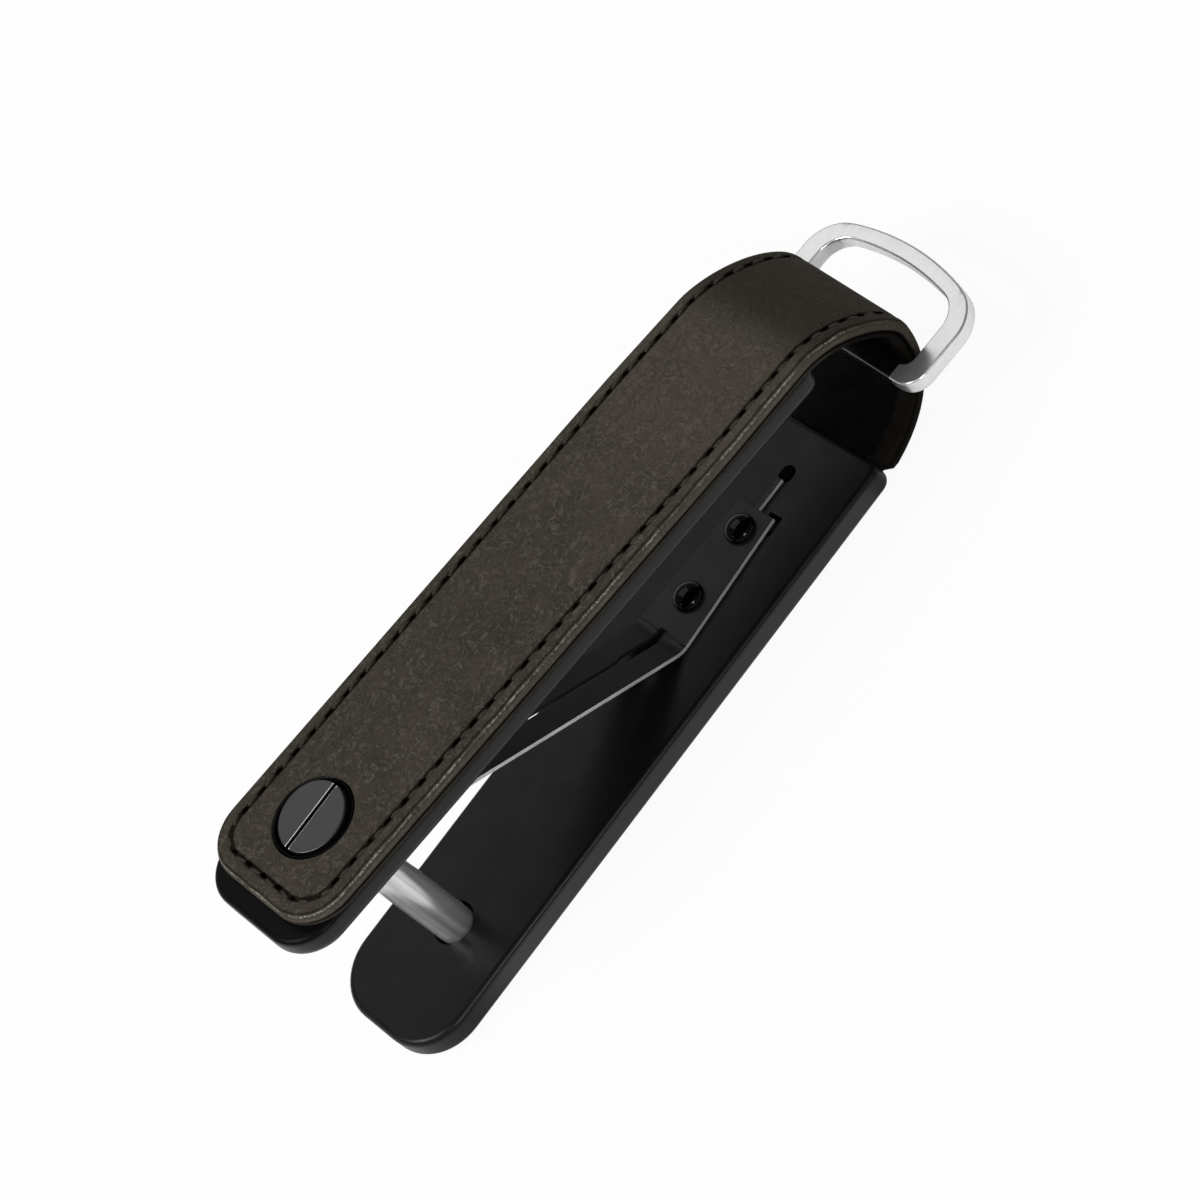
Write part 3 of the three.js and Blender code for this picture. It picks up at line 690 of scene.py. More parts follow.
class Workpiece:
    """A mesh in the making, in millimetres of the row frame, which becomes one piece."""

    def __init__(self, name: str) -> None:
        """Starts an empty mesh under that name."""
        self.name = name
        self.bm = bmesh.new()

    def box(self, low: Point, high: Point) -> "Workpiece":
        """Adds a box.

        Args:
            low: Lowest corner.
            high: Highest corner.

        Returns:
            This workpiece.
        """
        size = Vector(high) - Vector(low)
        place = Matrix.Translation((Vector(low) + Vector(high)) / 2) @ Matrix.Diagonal((*size, 1.0))
        bmesh.ops.create_cube(self.bm, size=1.0, matrix=place)
        return self

    def rod(self, radius: float, bottom: float, top: float,
            centre: tuple[float, float] = (0.0, 0.0)) -> "Workpiece":
        """Adds an upright rod.

        Args:
            radius: Its radius.
            bottom: Its lower level.
            top: Its upper level.
            centre: Its axis in X and Y.

        Returns:
            This workpiece.
        """
        place = Matrix.Translation((*centre, (bottom + top) / 2))
        bmesh.ops.create_cone(self.bm, cap_ends=True, segments=ROUND_STEPS, radius1=radius, radius2=radius,
                              depth=top - bottom, matrix=place)
        return self

    def sheet(self, outline: Sequence[tuple[float, float]], bottom: float, top: float) -> "Workpiece":
        """Adds a flat sheet of a few corners, raised to its thickness.

        Args:
            outline: Corners in X and Y.
            bottom: Its lower level.
            top: Its upper level.

        Returns:
            This workpiece.
        """
        corners = [self.bm.verts.new((x, y, bottom)) for x, y in outline]
        return self.raised([self.bm.faces.new(corners)], top - bottom)

    def raised(self, faces: list[bmesh.types.BMFace], height: float) -> "Workpiece":
        """Gives flat faces their thickness upwards.

        Args:
            faces: The faces.
            height: The thickness.

        Returns:
            This workpiece.
        """
        grown = bmesh.ops.extrude_face_region(self.bm, geom=faces, use_keep_orig=True)["geom"]
        tops = [part for part in grown if isinstance(part, bmesh.types.BMVert)]
        bmesh.ops.translate(self.bm, verts=tops, vec=(0, 0, height))
        return self.outward()

    def turned(self, profile: Sequence[tuple[float, float]], steps: int = ROUND_STEPS) -> "Workpiece":
        """Adds a shape turned about Z.

        Args:
            profile: Radius and height pairs.
            steps: Divisions round the axis.

        Returns:
            This workpiece.
        """
        verts = [self.bm.verts.new((radius, 0, height)) for radius, height in profile]
        edges = [self.bm.edges.new(pair) for pair in zip(verts, verts[1:])]
        bmesh.ops.spin(self.bm, geom=verts + edges, cent=(0, 0, 0), axis=Axis.Z.value, angle=math.tau,
                       steps=steps, use_merge=True)
        bmesh.ops.remove_doubles(self.bm, verts=self.bm.verts[:], dist=WELD)
        bmesh.ops.dissolve_limit(self.bm, angle_limit=FLAT, verts=self.bm.verts[:], edges=self.bm.edges[:])
        return self.outward()

    def outward(self) -> "Workpiece":
        """Turns all faces outwards."""
        bmesh.ops.recalc_face_normals(self.bm, faces=self.bm.faces[:])
        return self

    def moved(self, matrix: Matrix) -> "Workpiece":
        """Moves the whole mesh."""
        bmesh.ops.transform(self.bm, matrix=matrix, verts=self.bm.verts[:])
        return self

    def rim(self, least: float = 50.0) -> list[bmesh.types.BMEdge]:
        """The edges that are at least that sharp, in degrees."""
        limit = math.radians(least)
        return [e for e in self.bm.edges if e.is_manifold and e.calc_face_angle() > limit]

    def uprights(self, test: Callable[[Vector], bool]) -> list[bmesh.types.BMEdge]:
        """Sharp upright edges.

        Args:
            test: Which of them, by their middle.

        Returns:
            The edges.
        """
        found = []
        for edge in self.rim():
            first, second = (v.co for v in edge.verts)
            if abs((first - second).normalized().z) > UPRIGHT and test((first + second) / 2):
                found.append(edge)
        return found

    def rounded(self, edges: list[bmesh.types.BMEdge], radius: float, segments: int) -> "Workpiece":
        """Rounds edges.

        Args:
            edges: The edges.
            radius: The radius of the rounding.
            segments: Its divisions.

        Returns:
            This workpiece.
        """
        bmesh.ops.bevel(self.bm, geom=edges, offset=radius, offset_type="OFFSET", affect="EDGES",
                        segments=segments, profile=0.5, material=-1, clamp_overlap=True)
        return self

    def sliced(self, axis: Axis, places: Sequence[float]) -> "Workpiece":
        """Divides the mesh across an axis.

        Args:
            axis: The axis.
            places: Where along it.

        Returns:
            This workpiece.
        """
        for place in places:
            geometry = self.bm.verts[:] + self.bm.edges[:] + self.bm.faces[:]
            bmesh.ops.bisect_plane(self.bm, geom=geometry, dist=TOUCH, plane_co=axis.value * place,
                                   plane_no=axis.value)
        return self

    def cut(self, *tools: "Workpiece") -> "Workpiece":
        """Takes other workpieces away from this one.

        Args:
            tools: The shapes to take away.

        Returns:
            This workpiece.
        """
        body = self._object()
        cutters = [tool._object() for tool in tools]
        for cutter in cutters:
            modifier = body.modifiers.new(cutter.name, "BOOLEAN")
            modifier.operation = "DIFFERENCE"
            modifier.solver = "EXACT"
            modifier.object = cutter
        bpy.context.view_layer.update()
        shaped = bpy.data.meshes.new_from_object(body.evaluated_get(bpy.context.evaluated_depsgraph_get()))
        self.bm = bmesh.new()
        self.bm.from_mesh(shaped)
        spent = [shaped, *(o.data for o in (body, *cutters))]
        for part in (body, *cutters):
            bpy.data.objects.remove(part)
        for mesh in spent:
            bpy.data.meshes.remove(mesh)
        return self

    def _object(self) -> bpy.types.Object:
        """Puts the mesh into the scene as it stands."""
        mesh = bpy.data.meshes.new(self.name)
        self.bm.to_mesh(mesh)
        self.bm.free()
        made = bpy.data.objects.new(self.name, mesh)
        bpy.context.scene.collection.objects.link(made)
        return made

    def finished(self, *finishes: Finish, crease: float = 35.0, weighted: bool = True) -> bpy.types.Object:
        """Makes the mesh a piece of the scene, in metres.

        Args:
            finishes: One finish for each material index in use.
            crease: Edges sharper than this stay sharp, in degrees.
            weighted: Whether large faces keep their flat shading.

        Returns:
            The piece.
        """
        self.moved(Matrix.Scale(MM, 4))
        piece = self._object()
        for finish in finishes:
            piece.data.materials.append(finish.material())
        piece.data.shade_smooth()
        piece.data.set_sharp_from_angle(angle=math.radians(crease))
        if weighted:
            modifier = piece.modifiers.new("flat_faces", "WEIGHTED_NORMAL")
            modifier.keep_sharp = True
        log.info("%s: %d faces", piece.name, len(piece.data.polygons))
        return piece


@dataclass(frozen=True)
class Layout:
    """Where the halves of the organizer stand, counted in millimetres from the post's axis."""

    apex: tuple[float, float] = (79.45, 14.0)
    lean: float = math.radians(5.2)
    skew: float = math.radians(3.2)
    plate_start: float = -13.8
    plate_length: float = 80.4
    plate_width: float = 18.2
    upper_length: float = 81.0
    upper_width: float = 18.8
    plate_thickness: float = 3.3
    plate_bottom: float = 0.2
    key_gap: float = 21.7
    setback: float = 11.8
    stack: float = 2.0
    glue: float = 0.25

    @property
    def origin(self) -> Matrix:
        """From the post's axis to the row frame."""
        low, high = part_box("barrel_post")
        return Matrix.Translation(((low.x + high.x) / 2 / MM, 0, 0))

    @property
    def arm(self) -> Matrix:
        """From the leaning arm's frame, whose origin is the loop's apex, to the post's."""
        return Matrix.Translation((self.apex[0], 0, self.apex[1])) @ Matrix.Rotation(self.lean, 4, "Y")

    @property
    def plate_top(self) -> float:
        """Level of the lower plate's inner face."""
        return self.plate_bottom + self.plate_thickness

    @property
    def arm_inner(self) -> float:
        """Level of the upper plate's inner face, in the arm's frame."""
        rise = self.plate_top + self.key_gap - self.apex[1]
        return rise * math.cos(self.lean) - self.apex[0] * math.sin(self.lean)

    @property
    def arm_plate_top(self) -> float:
        """Level of the upper plate's outer face, in the arm's frame."""
        return self.arm_inner + self.plate_thickness

    @property
    def arm_strap_top(self) -> float:
        """Level of the upper run's outer face, in the arm's frame."""
        return self.arm_plate_top + self.glue + self.stack

    @property
    def arm_plate_start(self) -> float:
        """Screw end of the upper plate, in the arm's frame."""
        return -self.setback - self.upper_length

    def height_at_post(self, level: float) -> float:
        """Height at the post's axis of a level of the arm's frame."""
        return self.apex[1] + (level + self.apex[0] * math.sin(self.lean)) / math.cos(self.lean)

    @property
    def eyelet_station(self) -> float:
        """Where the post's axis meets the strap's outer face, along the arm."""
        meeting = Vector((0, 0, self.height_at_post(self.arm_strap_top)))
        return (self.arm.inverted() @ meeting).x


@dataclass(frozen=True)
class Station:
    """One place along the strap's outer face."""

    run: float
    point: Vector
    tangent: Vector
    half: float
    slant: float


@dataclass
class StrapPath:
    """The strap's outer face from the screw end over the loop to the end of the tail."""

    layout: Layout
    inset: float = 2.35
    upper_bend: float = 13.7
    lower_bend: float = 16.95
    upper_handles: tuple[float, float] = (0.45, 0.4)
    lower_handles: tuple[float, float] = (0.55, 0.66)
    screw_half: float = 10.0
    shoulder_half: float = 10.25
    neck_half: float = 9.925
    loop_half: float = 9.6
    tail_half: float = 7.5
    tail_neck_half: float = 8.9
    tail_start: float = -11.4
    tail_shoulder: float = 66.9
    tail_neck: float = 67.7
    straight_steps: int = 40
    upper_steps: int = 60
    lower_steps: int = 70
    stations: list[Station] = field(init=False)
    _runs: list[float] = field(init=False, repr=False)

    def __post_init__(self) -> None:
        """Lays out the stations of the path."""
        upper, lower = self._upper_points(), self._lower_points()
        points = [*upper, *lower]
        halves = [self._upper_half(x) for x in self._upper_plan()]
        halves += [self._lower_half(p.x) for p in lower]
        slants = [self._eased((x + self.upper_bend) / self.upper_bend) for x in self._upper_plan()]
        bend_end = self.layout.apex[0] - self.lower_bend
        slants += [self._eased((p.x - bend_end) / self.lower_bend) for p in lower]
        self.stations, run = [], 0.0
        for i, point in enumerate(points):
            before, after = points[max(i - 1, 0)], points[min(i + 1, len(points) - 1)]
            run += (point - before).length
            self.stations.append(Station(run, point, (after - before).normalized(), halves[i], slants[i]))
        self._runs = [station.run for station in self.stations]

    @staticmethod
    def _eased(share: float) -> float:
        """A share from 0 to 1 with a smooth start and end."""
        share = min(max(share, 0.0), 1.0)
        return share * share * (3 - 2 * share)

    @property
    def length(self) -> float:
        """Length of the outer face."""
        return self._runs[-1]

    @property
    def bend(self) -> tuple[float, float]:
        """Where along the strap the loop's bend starts and ends."""
        straight = self.layout.apex[0] - self.lower_bend - self.tail_start
        return -self.start - self.upper_bend, self.length - straight

    @property
    def start(self) -> float:
        """Screw end of the strap, in the arm's frame."""
        return self.layout.arm_plate_start + self.inset

    def _upper_curve(self) -> list[Vector]:
        """The upper half as a straight run and a bend.

        Returns:
            Points in X and Z of the arm's frame.
        """
        top, bend, steps = self.layout.arm_strap_top, self.upper_bend, self.straight_steps
        rise = Vector((-math.sin(self.layout.lean), math.cos(self.layout.lean)))
        start = Vector((-bend, top))
        handles = start + Vector((self.upper_handles[0] * bend, 0)), rise * (self.upper_handles[1] * top)
        straight = [Vector((self.start * (1 - t / steps) - bend * t / steps, top)) for t in range(steps)]
        curve = interpolate_bezier(start, *handles, Vector((0, 0)), self.upper_steps)
        return straight + [p.to_2d() for p in curve]

    def _upper_plan(self) -> list[float]:
        """Stations of the upper half along the arm."""
        return [p.x for p in self._upper_curve()]

    def _upper_points(self) -> list[Vector]:
        """The upper half in X and Z from the post's axis."""
        placed = [self.layout.arm @ Vector((p.x, 0, p.y)) for p in self._upper_curve()]
        return [p.xz for p in placed]

    def _lower_points(self) -> list[Vector]:
        """The lower half as a bend, without the apex, and the straight tail.

        Returns:
            Points in X and Z from the post's axis.
        """
        x, z = self.layout.apex
        end, steps = Vector((x - self.lower_bend, 0)), self.straight_steps
        handles = (Vector((x, z * (1 - self.lower_handles[1]))),
                   end + Vector((self.lower_handles[0] * self.lower_bend, 0)))
        curve = interpolate_bezier(Vector((x, z)), *handles, end, self.lower_steps)[1:]
        tail = [end.lerp(Vector((self.tail_start, 0)), t / steps) for t in range(1, steps + 1)]
        return [p.to_2d() for p in curve] + tail

    def _upper_half(self, x: float) -> float:
        """Half width of the upper half.

        Args:
            x: Station along the arm.

        Returns:
            The half width there.
        """
        shoulder, neck = -self.layout.setback - self.upper_bend, -self.layout.setback
        if x < shoulder:
            share = (x - self.start) / (shoulder - self.start)
            return self.screw_half + share * (self.shoulder_half - self.screw_half)
        if x < neck:
            share = (x - shoulder) / (neck - shoulder)
            return self.shoulder_half + share * (self.neck_half - self.shoulder_half)
        rest = 1 - (x - neck) / (self.layout.stack - neck)
        return self.loop_half + rest * rest * (self.neck_half - self.loop_half)

    def _lower_half(self, x: float) -> float:
        """Half width of the lower half.

        Args:
            x: Station along X.

        Returns:
            The half width there.
        """
        if x < self.tail_shoulder:
            return self.tail_half
        if x < self.tail_neck:
            share = (x - self.tail_shoulder) / (self.tail_neck - self.tail_shoulder)
            return self.tail_half + share * (self.tail_neck_half - self.tail_half)
        share = (x - self.tail_neck) / (self.layout.apex[0] + self.layout.stack - self.tail_neck)
        return self.tail_neck_half + share * (self.loop_half - self.tail_neck_half)

    def at(self, run: float) -> Station:
        """The path at a distance along it.

        Args:
            run: Distance from the screw end.

        Returns:
            The place, between the two stations on either side.
        """
        i = min(max(bisect_right(self._runs, run), 1), len(self.stations) - 1)
        a, b = self.stations[i - 1], self.stations[i]
        t = (run - a.run) / (b.run - a.run)
        return Station(run, a.point.lerp(b.point, t), a.tangent.lerp(b.tangent, t).normalized(),
                       a.half + t * (b.half - a.half), a.slant + t * (b.slant - a.slant))

    def placed(self, run: float, across: float, depth: float) -> Vector:
        """Where a point of the flat strap lies once it is folded.

        Args:
            run: Distance along the outer face.
            across: Distance from the middle line.
            depth: Distance below the outer face.

        Returns:
            The point, from the post's axis.
        """
        here = self.at(run)
        inward = Vector((here.tangent.y, -here.tangent.x))
        spot = here.point + inward * depth
        return Vector((spot.x + here.slant * math.tan(self.layout.skew) * across, across, spot.y))


@dataclass
class Strap:
    """The folded strap: leather outside, lining inside and a row of stitches all round.

    The two ends of its bending zone are in metres of the row frame.
    """

    path: StrapPath
    leather_thickness: float = 1.3
    lining_thickness: float = 0.45
    lining_inset: float = 0.08
    screw_end_radius: float = 5.5
    tail_end_radius: float = 4.5
    end_steps: int = 12
    roll: float = 0.9
    roll_steps: int = 5
    edge: float = 0.12
    edge_steps: int = 2
    eyelet_hole: float = 4.9
    post_hole: float = 4.5
    punch: Range = (-4.0, 2.0)
    border: float = 6.5
    core_half: float = 1.6
    bend_step: float = 0.75
    bend_margin: float = 1.0
    straight_parts: int = 14
    stitch_inset: float = 1.95
    end_inset: float = 2.1
    seam_steps: int = 160
    seam_turn_steps: int = 8
    stitch_pitch: float = 2.65
    stitch_length: float = 2.1
    stitch_radius: float = 0.22
    stitch_rise: float = 0.1
    stitch_bow: float = 0.3
    stitch_shift: float = 0.2
    stitch_slant: float = math.radians(8)
    stitch_sway: float = 1.6
    hole: Point = (0.55, 0.36, 0.2)
    hole_sway: float = 0.9
    tail_sink: float = 0.15
    sink_lead: float = 6.0
    groove: float = 0.2
    groove_half: float = 0.5
    skin: float = 0.05
    lining_crown: float = 0.75
    smooth_angle: float = 60.0
    blend_start: Point = (0.04, 0, 0.0085)
    blend_end: Point = (0.04, 0, 0.0205)
    leather: Finish = Nubuck("olive_nubuck", corner=screw_end_radius, seam=stitch_inset, end_seam=end_inset)
    raw_edge: Finish = CutEdge("backing_edge")
    thread: Finish = Thread("olive_thread")
    shade: Finish = Thread("stitch_hole_shade", grey(0.0006), (0.0024, 0.0019, 0.0013), 0.0)
    backing: Finish = Lining("black_lining")

    def build(self) -> None:
        """Builds the three layers, folded round the loop from the lower half to the upper one."""
        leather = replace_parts(self.leather_band(), "strap_upper_leather", "strap_lower_leather")
        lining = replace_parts(self.lining_band(), "strap_upper_lining", "strap_lower_lining")
        for piece, slot in ((leather, "leather"), (lining, "lining"), (self.stitching(), "lining")):
            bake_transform(piece)

    def _divisions(self) -> list[float]:
        """Divides the flat strap along its length, most closely in the bend.

        Returns:
            Distances from the screw end.
        """
        start, end = self.path.bend
        length, margin, parts = self.path.length, self.bend_margin, self.straight_parts
        ends = [self.end_inset + k * self.groove_half for k in (-1, 0, 1)]
        steps = math.ceil((end - start) / self.bend_step)
        bend = [start - margin + (end - start + 2 * margin) * i / steps for i in range(steps + 1)]
        upper = [start * i / parts for i in range(1, parts)]
        lower = [end + margin + (length - end) * i / parts for i in range(1, parts)]
        return [*ends, *(length - e for e in ends), *upper, *bend, *lower]

    def _flat(self, name: str, inset: float, top: float, thickness: float, roll: float) -> Workpiece:
        """Cuts a layer of the strap out flat, at its true width.

        Args:
            name: Name of the layer.
            inset: How far it stays inside the strap's outline.
            top: Depth of its outer face.
            thickness: Its thickness.
            roll: Rounding of its outer edges.

        Returns:
            The flat layer.
        """
        half, length = self.path.screw_half - inset, self.path.length
        work = Workpiece(name).box((inset, -half, -top - thickness), (length - inset, half, -top))
        work.rounded(work.uprights(lambda p: p.x < length / 2), self.screw_end_radius, self.end_steps)
        work.rounded(work.uprights(lambda p: p.x > length / 2), self.tail_end_radius, self.end_steps)
        middle = -top - thickness / 2
        for rim, radius, segments in ((1, roll, self.roll_steps), (-1, self.edge, self.edge_steps)):
            edges = [e for e in work.rim() if all((v.co.z - middle) * rim > thickness / 4 for v in e.verts)]
            work.rounded(edges, radius, segments)
        lines = [self.path.screw_half - self.stitch_inset + k * self.groove_half for k in (-1, 0, 1)]
        lines += [self.path.screw_half - self.border, self.core_half]
        work.sliced(Axis.Y, [s * line for line in lines for s in (-1, 1)])
        work.sliced(Axis.X, self._divisions())
        for vert in work.bm.verts:
            vert.co.y = self._widened(vert.co.x, vert.co.y)
        eyelet = self.path.layout.eyelet_station - self.path.start
        post = self.path.length + self.path.tail_start
        holes = [Workpiece("hole").rod(radius, *self.punch, (run, 0))
                 for run, radius in ((eyelet, self.eyelet_hole), (post, self.post_hole))]
        return work.cut(*holes)

    def _folded(self, work: Workpiece, grooved: bool) -> Workpiece:
        """Folds a flat layer along the path.

        Args:
            work: The flat layer.
            grooved: Whether the stitches pull a groove into it.

        Returns:
            The folded layer in the row frame.
        """
        flat = work.bm.verts.layers.float_vector.new(Pattern.SURFACE.value)
        margins = work.bm.verts.layers.float_vector.new(Pattern.MARGINS.value)
        for vert in work.bm.verts:
            run, across, level = vert.co
            depth = -level
            if grooved and depth < self.skin:
                away = self._seam_distance(run, across) / self.groove_half
                depth += self.groove * max(0.0, 1 - away * away)
            vert[flat] = (run, across, level)
            vert[margins] = (min(run, self.path.length - run), self.path.at(run).half - abs(across), 0)
            vert.co = self.path.placed(run, across, depth)
        return work.moved(self.path.layout.origin).outward()

    def _widened(self, run: float, across: float) -> float:
        """Moves a point of the even blank out to the strap's true width, keeping its distance from the edge.

        Args:
            run: Distance along the strap.
            across: Distance from the middle line on the even blank.

        Returns:
            Distance from the middle line on the strap.
        """
        even, half = self.path.screw_half, self.path.at(run).half
        core = even - self.border
        if abs(across) <= core:
            return across * (half - self.border) / core
        return math.copysign(half - (even - abs(across)), across)

    def _seam_distance(self, run: float, across: float) -> float:
        """Distance of a point of the flat strap from the seam.

        Args:
            run: Distance along the strap.
            across: Distance from the middle line.

        Returns:
            The distance, measured round the corners at the ends.
        """
        first = run < self.path.length / 2
        radius = self.screw_end_radius if first else self.tail_end_radius
        side = max(radius - self.path.at(run).half + abs(across), 0)
        end = max(radius - (run if first else self.path.length - run), 0)
        reach = radius - self.stitch_inset
        return abs(math.hypot(end * reach / (radius - self.end_inset), side) - reach)

    def leather_band(self) -> bpy.types.Object:
        """The leather, with its edges rolled off on the outside."""
        work = self._flat("strap_leather", 0.0, 0.0, self.leather_thickness, self.roll)
        return self._folded(work, True).finished(self.leather, crease=self.smooth_angle, weighted=False)

    def lining_band(self) -> bpy.types.Object:
        """The lining on the inside of the leather, with its raw edge as a second material.

        Returns:
            The piece.
        """
        top = self.path.layout.stack - self.lining_thickness
        work = self._flat("strap_lining", self.lining_inset, top, self.lining_thickness, self.edge)
        for face in work.bm.faces:
            face.material_index = int(abs(face.normal.z) < self.lining_crown)
        finishes = self.backing, self.raw_edge
        return self._folded(work, False).finished(*finishes, crease=self.smooth_angle, weighted=False)

    def _seam(self, side: int) -> list[Vector]:
        """The line of one side's stitches on the flat strap, from the middle of one end to that of the other.

        Args:
            side: 1 or -1.

        Returns:
            Points along the line.
        """
        inset, end, length = self.stitch_inset, self.end_inset, self.path.length
        screw, tail = self.screw_end_radius, self.tail_end_radius
        turns = [k / self.seam_turn_steps * math.pi / 2 for k in range(self.seam_turn_steps + 1)]
        points = [Vector((end, 0))]
        for turn in turns:
            across = self.path.at(0).half - screw + math.sin(turn) * (screw - inset)
            points.append(Vector((screw - math.cos(turn) * (screw - end), across)))
        for k in range(1, self.seam_steps):
            run = screw + (length - screw - tail) * k / self.seam_steps
            points.append(Vector((run, self.path.at(run).half - inset)))
        for turn in turns:
            across = self.path.at(length).half - tail + math.cos(turn) * (tail - inset)
            points.append(Vector((length - tail + math.sin(turn) * (tail - end), across)))
        points.append(Vector((length - end, 0)))
        return [Vector((p.x, side * p.y)) for p in points]

    def stitching(self) -> bpy.types.Object:
        """The stitches all round the strap, each a short bowed thread between two holes.

        Returns:
            The piece.
        """
        work = Workpiece("strap_stitching")
        for side in (-1, 1):
            seam = self._seam(side)
            reach, mark = 0.0, 0
            for a, b in zip(seam, seam[1:]):
                span = (b - a).length
                while mark * self.stitch_pitch / 2 <= reach + span:
                    spot = a.lerp(b, (mark * self.stitch_pitch / 2 - reach) / span)
                    heading = math.atan2(b.y - a.y, b.x - a.x)
                    if mark % 2:
                        self._stitch(work.bm, spot, heading, side)
                    else:
                        self._hole(work.bm, spot, heading)
                    mark += 1
                reach += span
        flat = work.bm.verts.layers.float_vector.new(Pattern.SURFACE.value)
        for vert in work.bm.verts:
            run, across, level = vert.co
            vert[flat] = vert.co
            sunk = self.tail_sink if run > self.path.bend[1] - self.sink_lead else 0.0
            vert.co = self.path.placed(run, across, self.groove + sunk - level)
        return work.moved(self.path.layout.origin).outward().finished(self.thread, self.shade, weighted=False)

    def _stitch(self, bm: bmesh.types.BMesh, spot: Vector, heading: float, side: int) -> None:
        """Adds one stitch to the flat seam, slanted and shifted towards the edge.

        Args:
            bm: The mesh of the stitches.
            spot: The middle of the seam there.
            heading: Direction of the seam.
            side: Which side the edge lies on, 1 or -1.
        """
        half, radius = self.stitch_length / 2, self.stitch_radius
        made = bmesh.ops.create_uvsphere(bm, u_segments=8, v_segments=6, radius=1.0)["verts"]
        lying = Matrix.Rotation(math.pi / 2, 4, "Y")
        bmesh.ops.transform(bm, matrix=Matrix.Diagonal((half, radius, radius, 1)) @ lying, verts=made)
        for vert in made:
            vert.co.z += self.stitch_rise - self.stitch_bow * (vert.co.x / half) ** 2
        slant = self.stitch_slant * (1 + self.stitch_sway * noise.noise(spot.to_3d()))
        shifted = Matrix.Translation((0, side * self.stitch_shift, 0)) @ Matrix.Rotation(side * slant, 4, "Z")
        place = Matrix.Translation(spot.to_3d()) @ Matrix.Rotation(heading, 4, "Z") @ shifted
        bmesh.ops.transform(bm, matrix=place, verts=made)

    def _hole(self, bm: bmesh.types.BMesh, spot: Vector, heading: float) -> None:
        """Adds a disc of painted shade for one needle hole to the flat seam.

        Args:
            bm: The mesh of the stitches.
            spot: Its middle.
            heading: Direction of the seam.
        """
        made = bmesh.ops.create_uvsphere(bm, u_segments=8, v_segments=4, radius=1.0)["verts"]
        length, width, depth = self.hole
        length *= 1 + self.hole_sway * noise.noise(spot.to_3d())
        size = Matrix.Diagonal((length, width, depth, 1))
        place = Matrix.Translation(spot.to_3d()) @ Matrix.Rotation(heading, 4, "Z") @ size
        bmesh.ops.transform(bm, matrix=place, verts=made)
        # The disc takes the painted-shade finish.
        for face in {f for v in made for f in v.link_faces}:
            face.material_index = 1


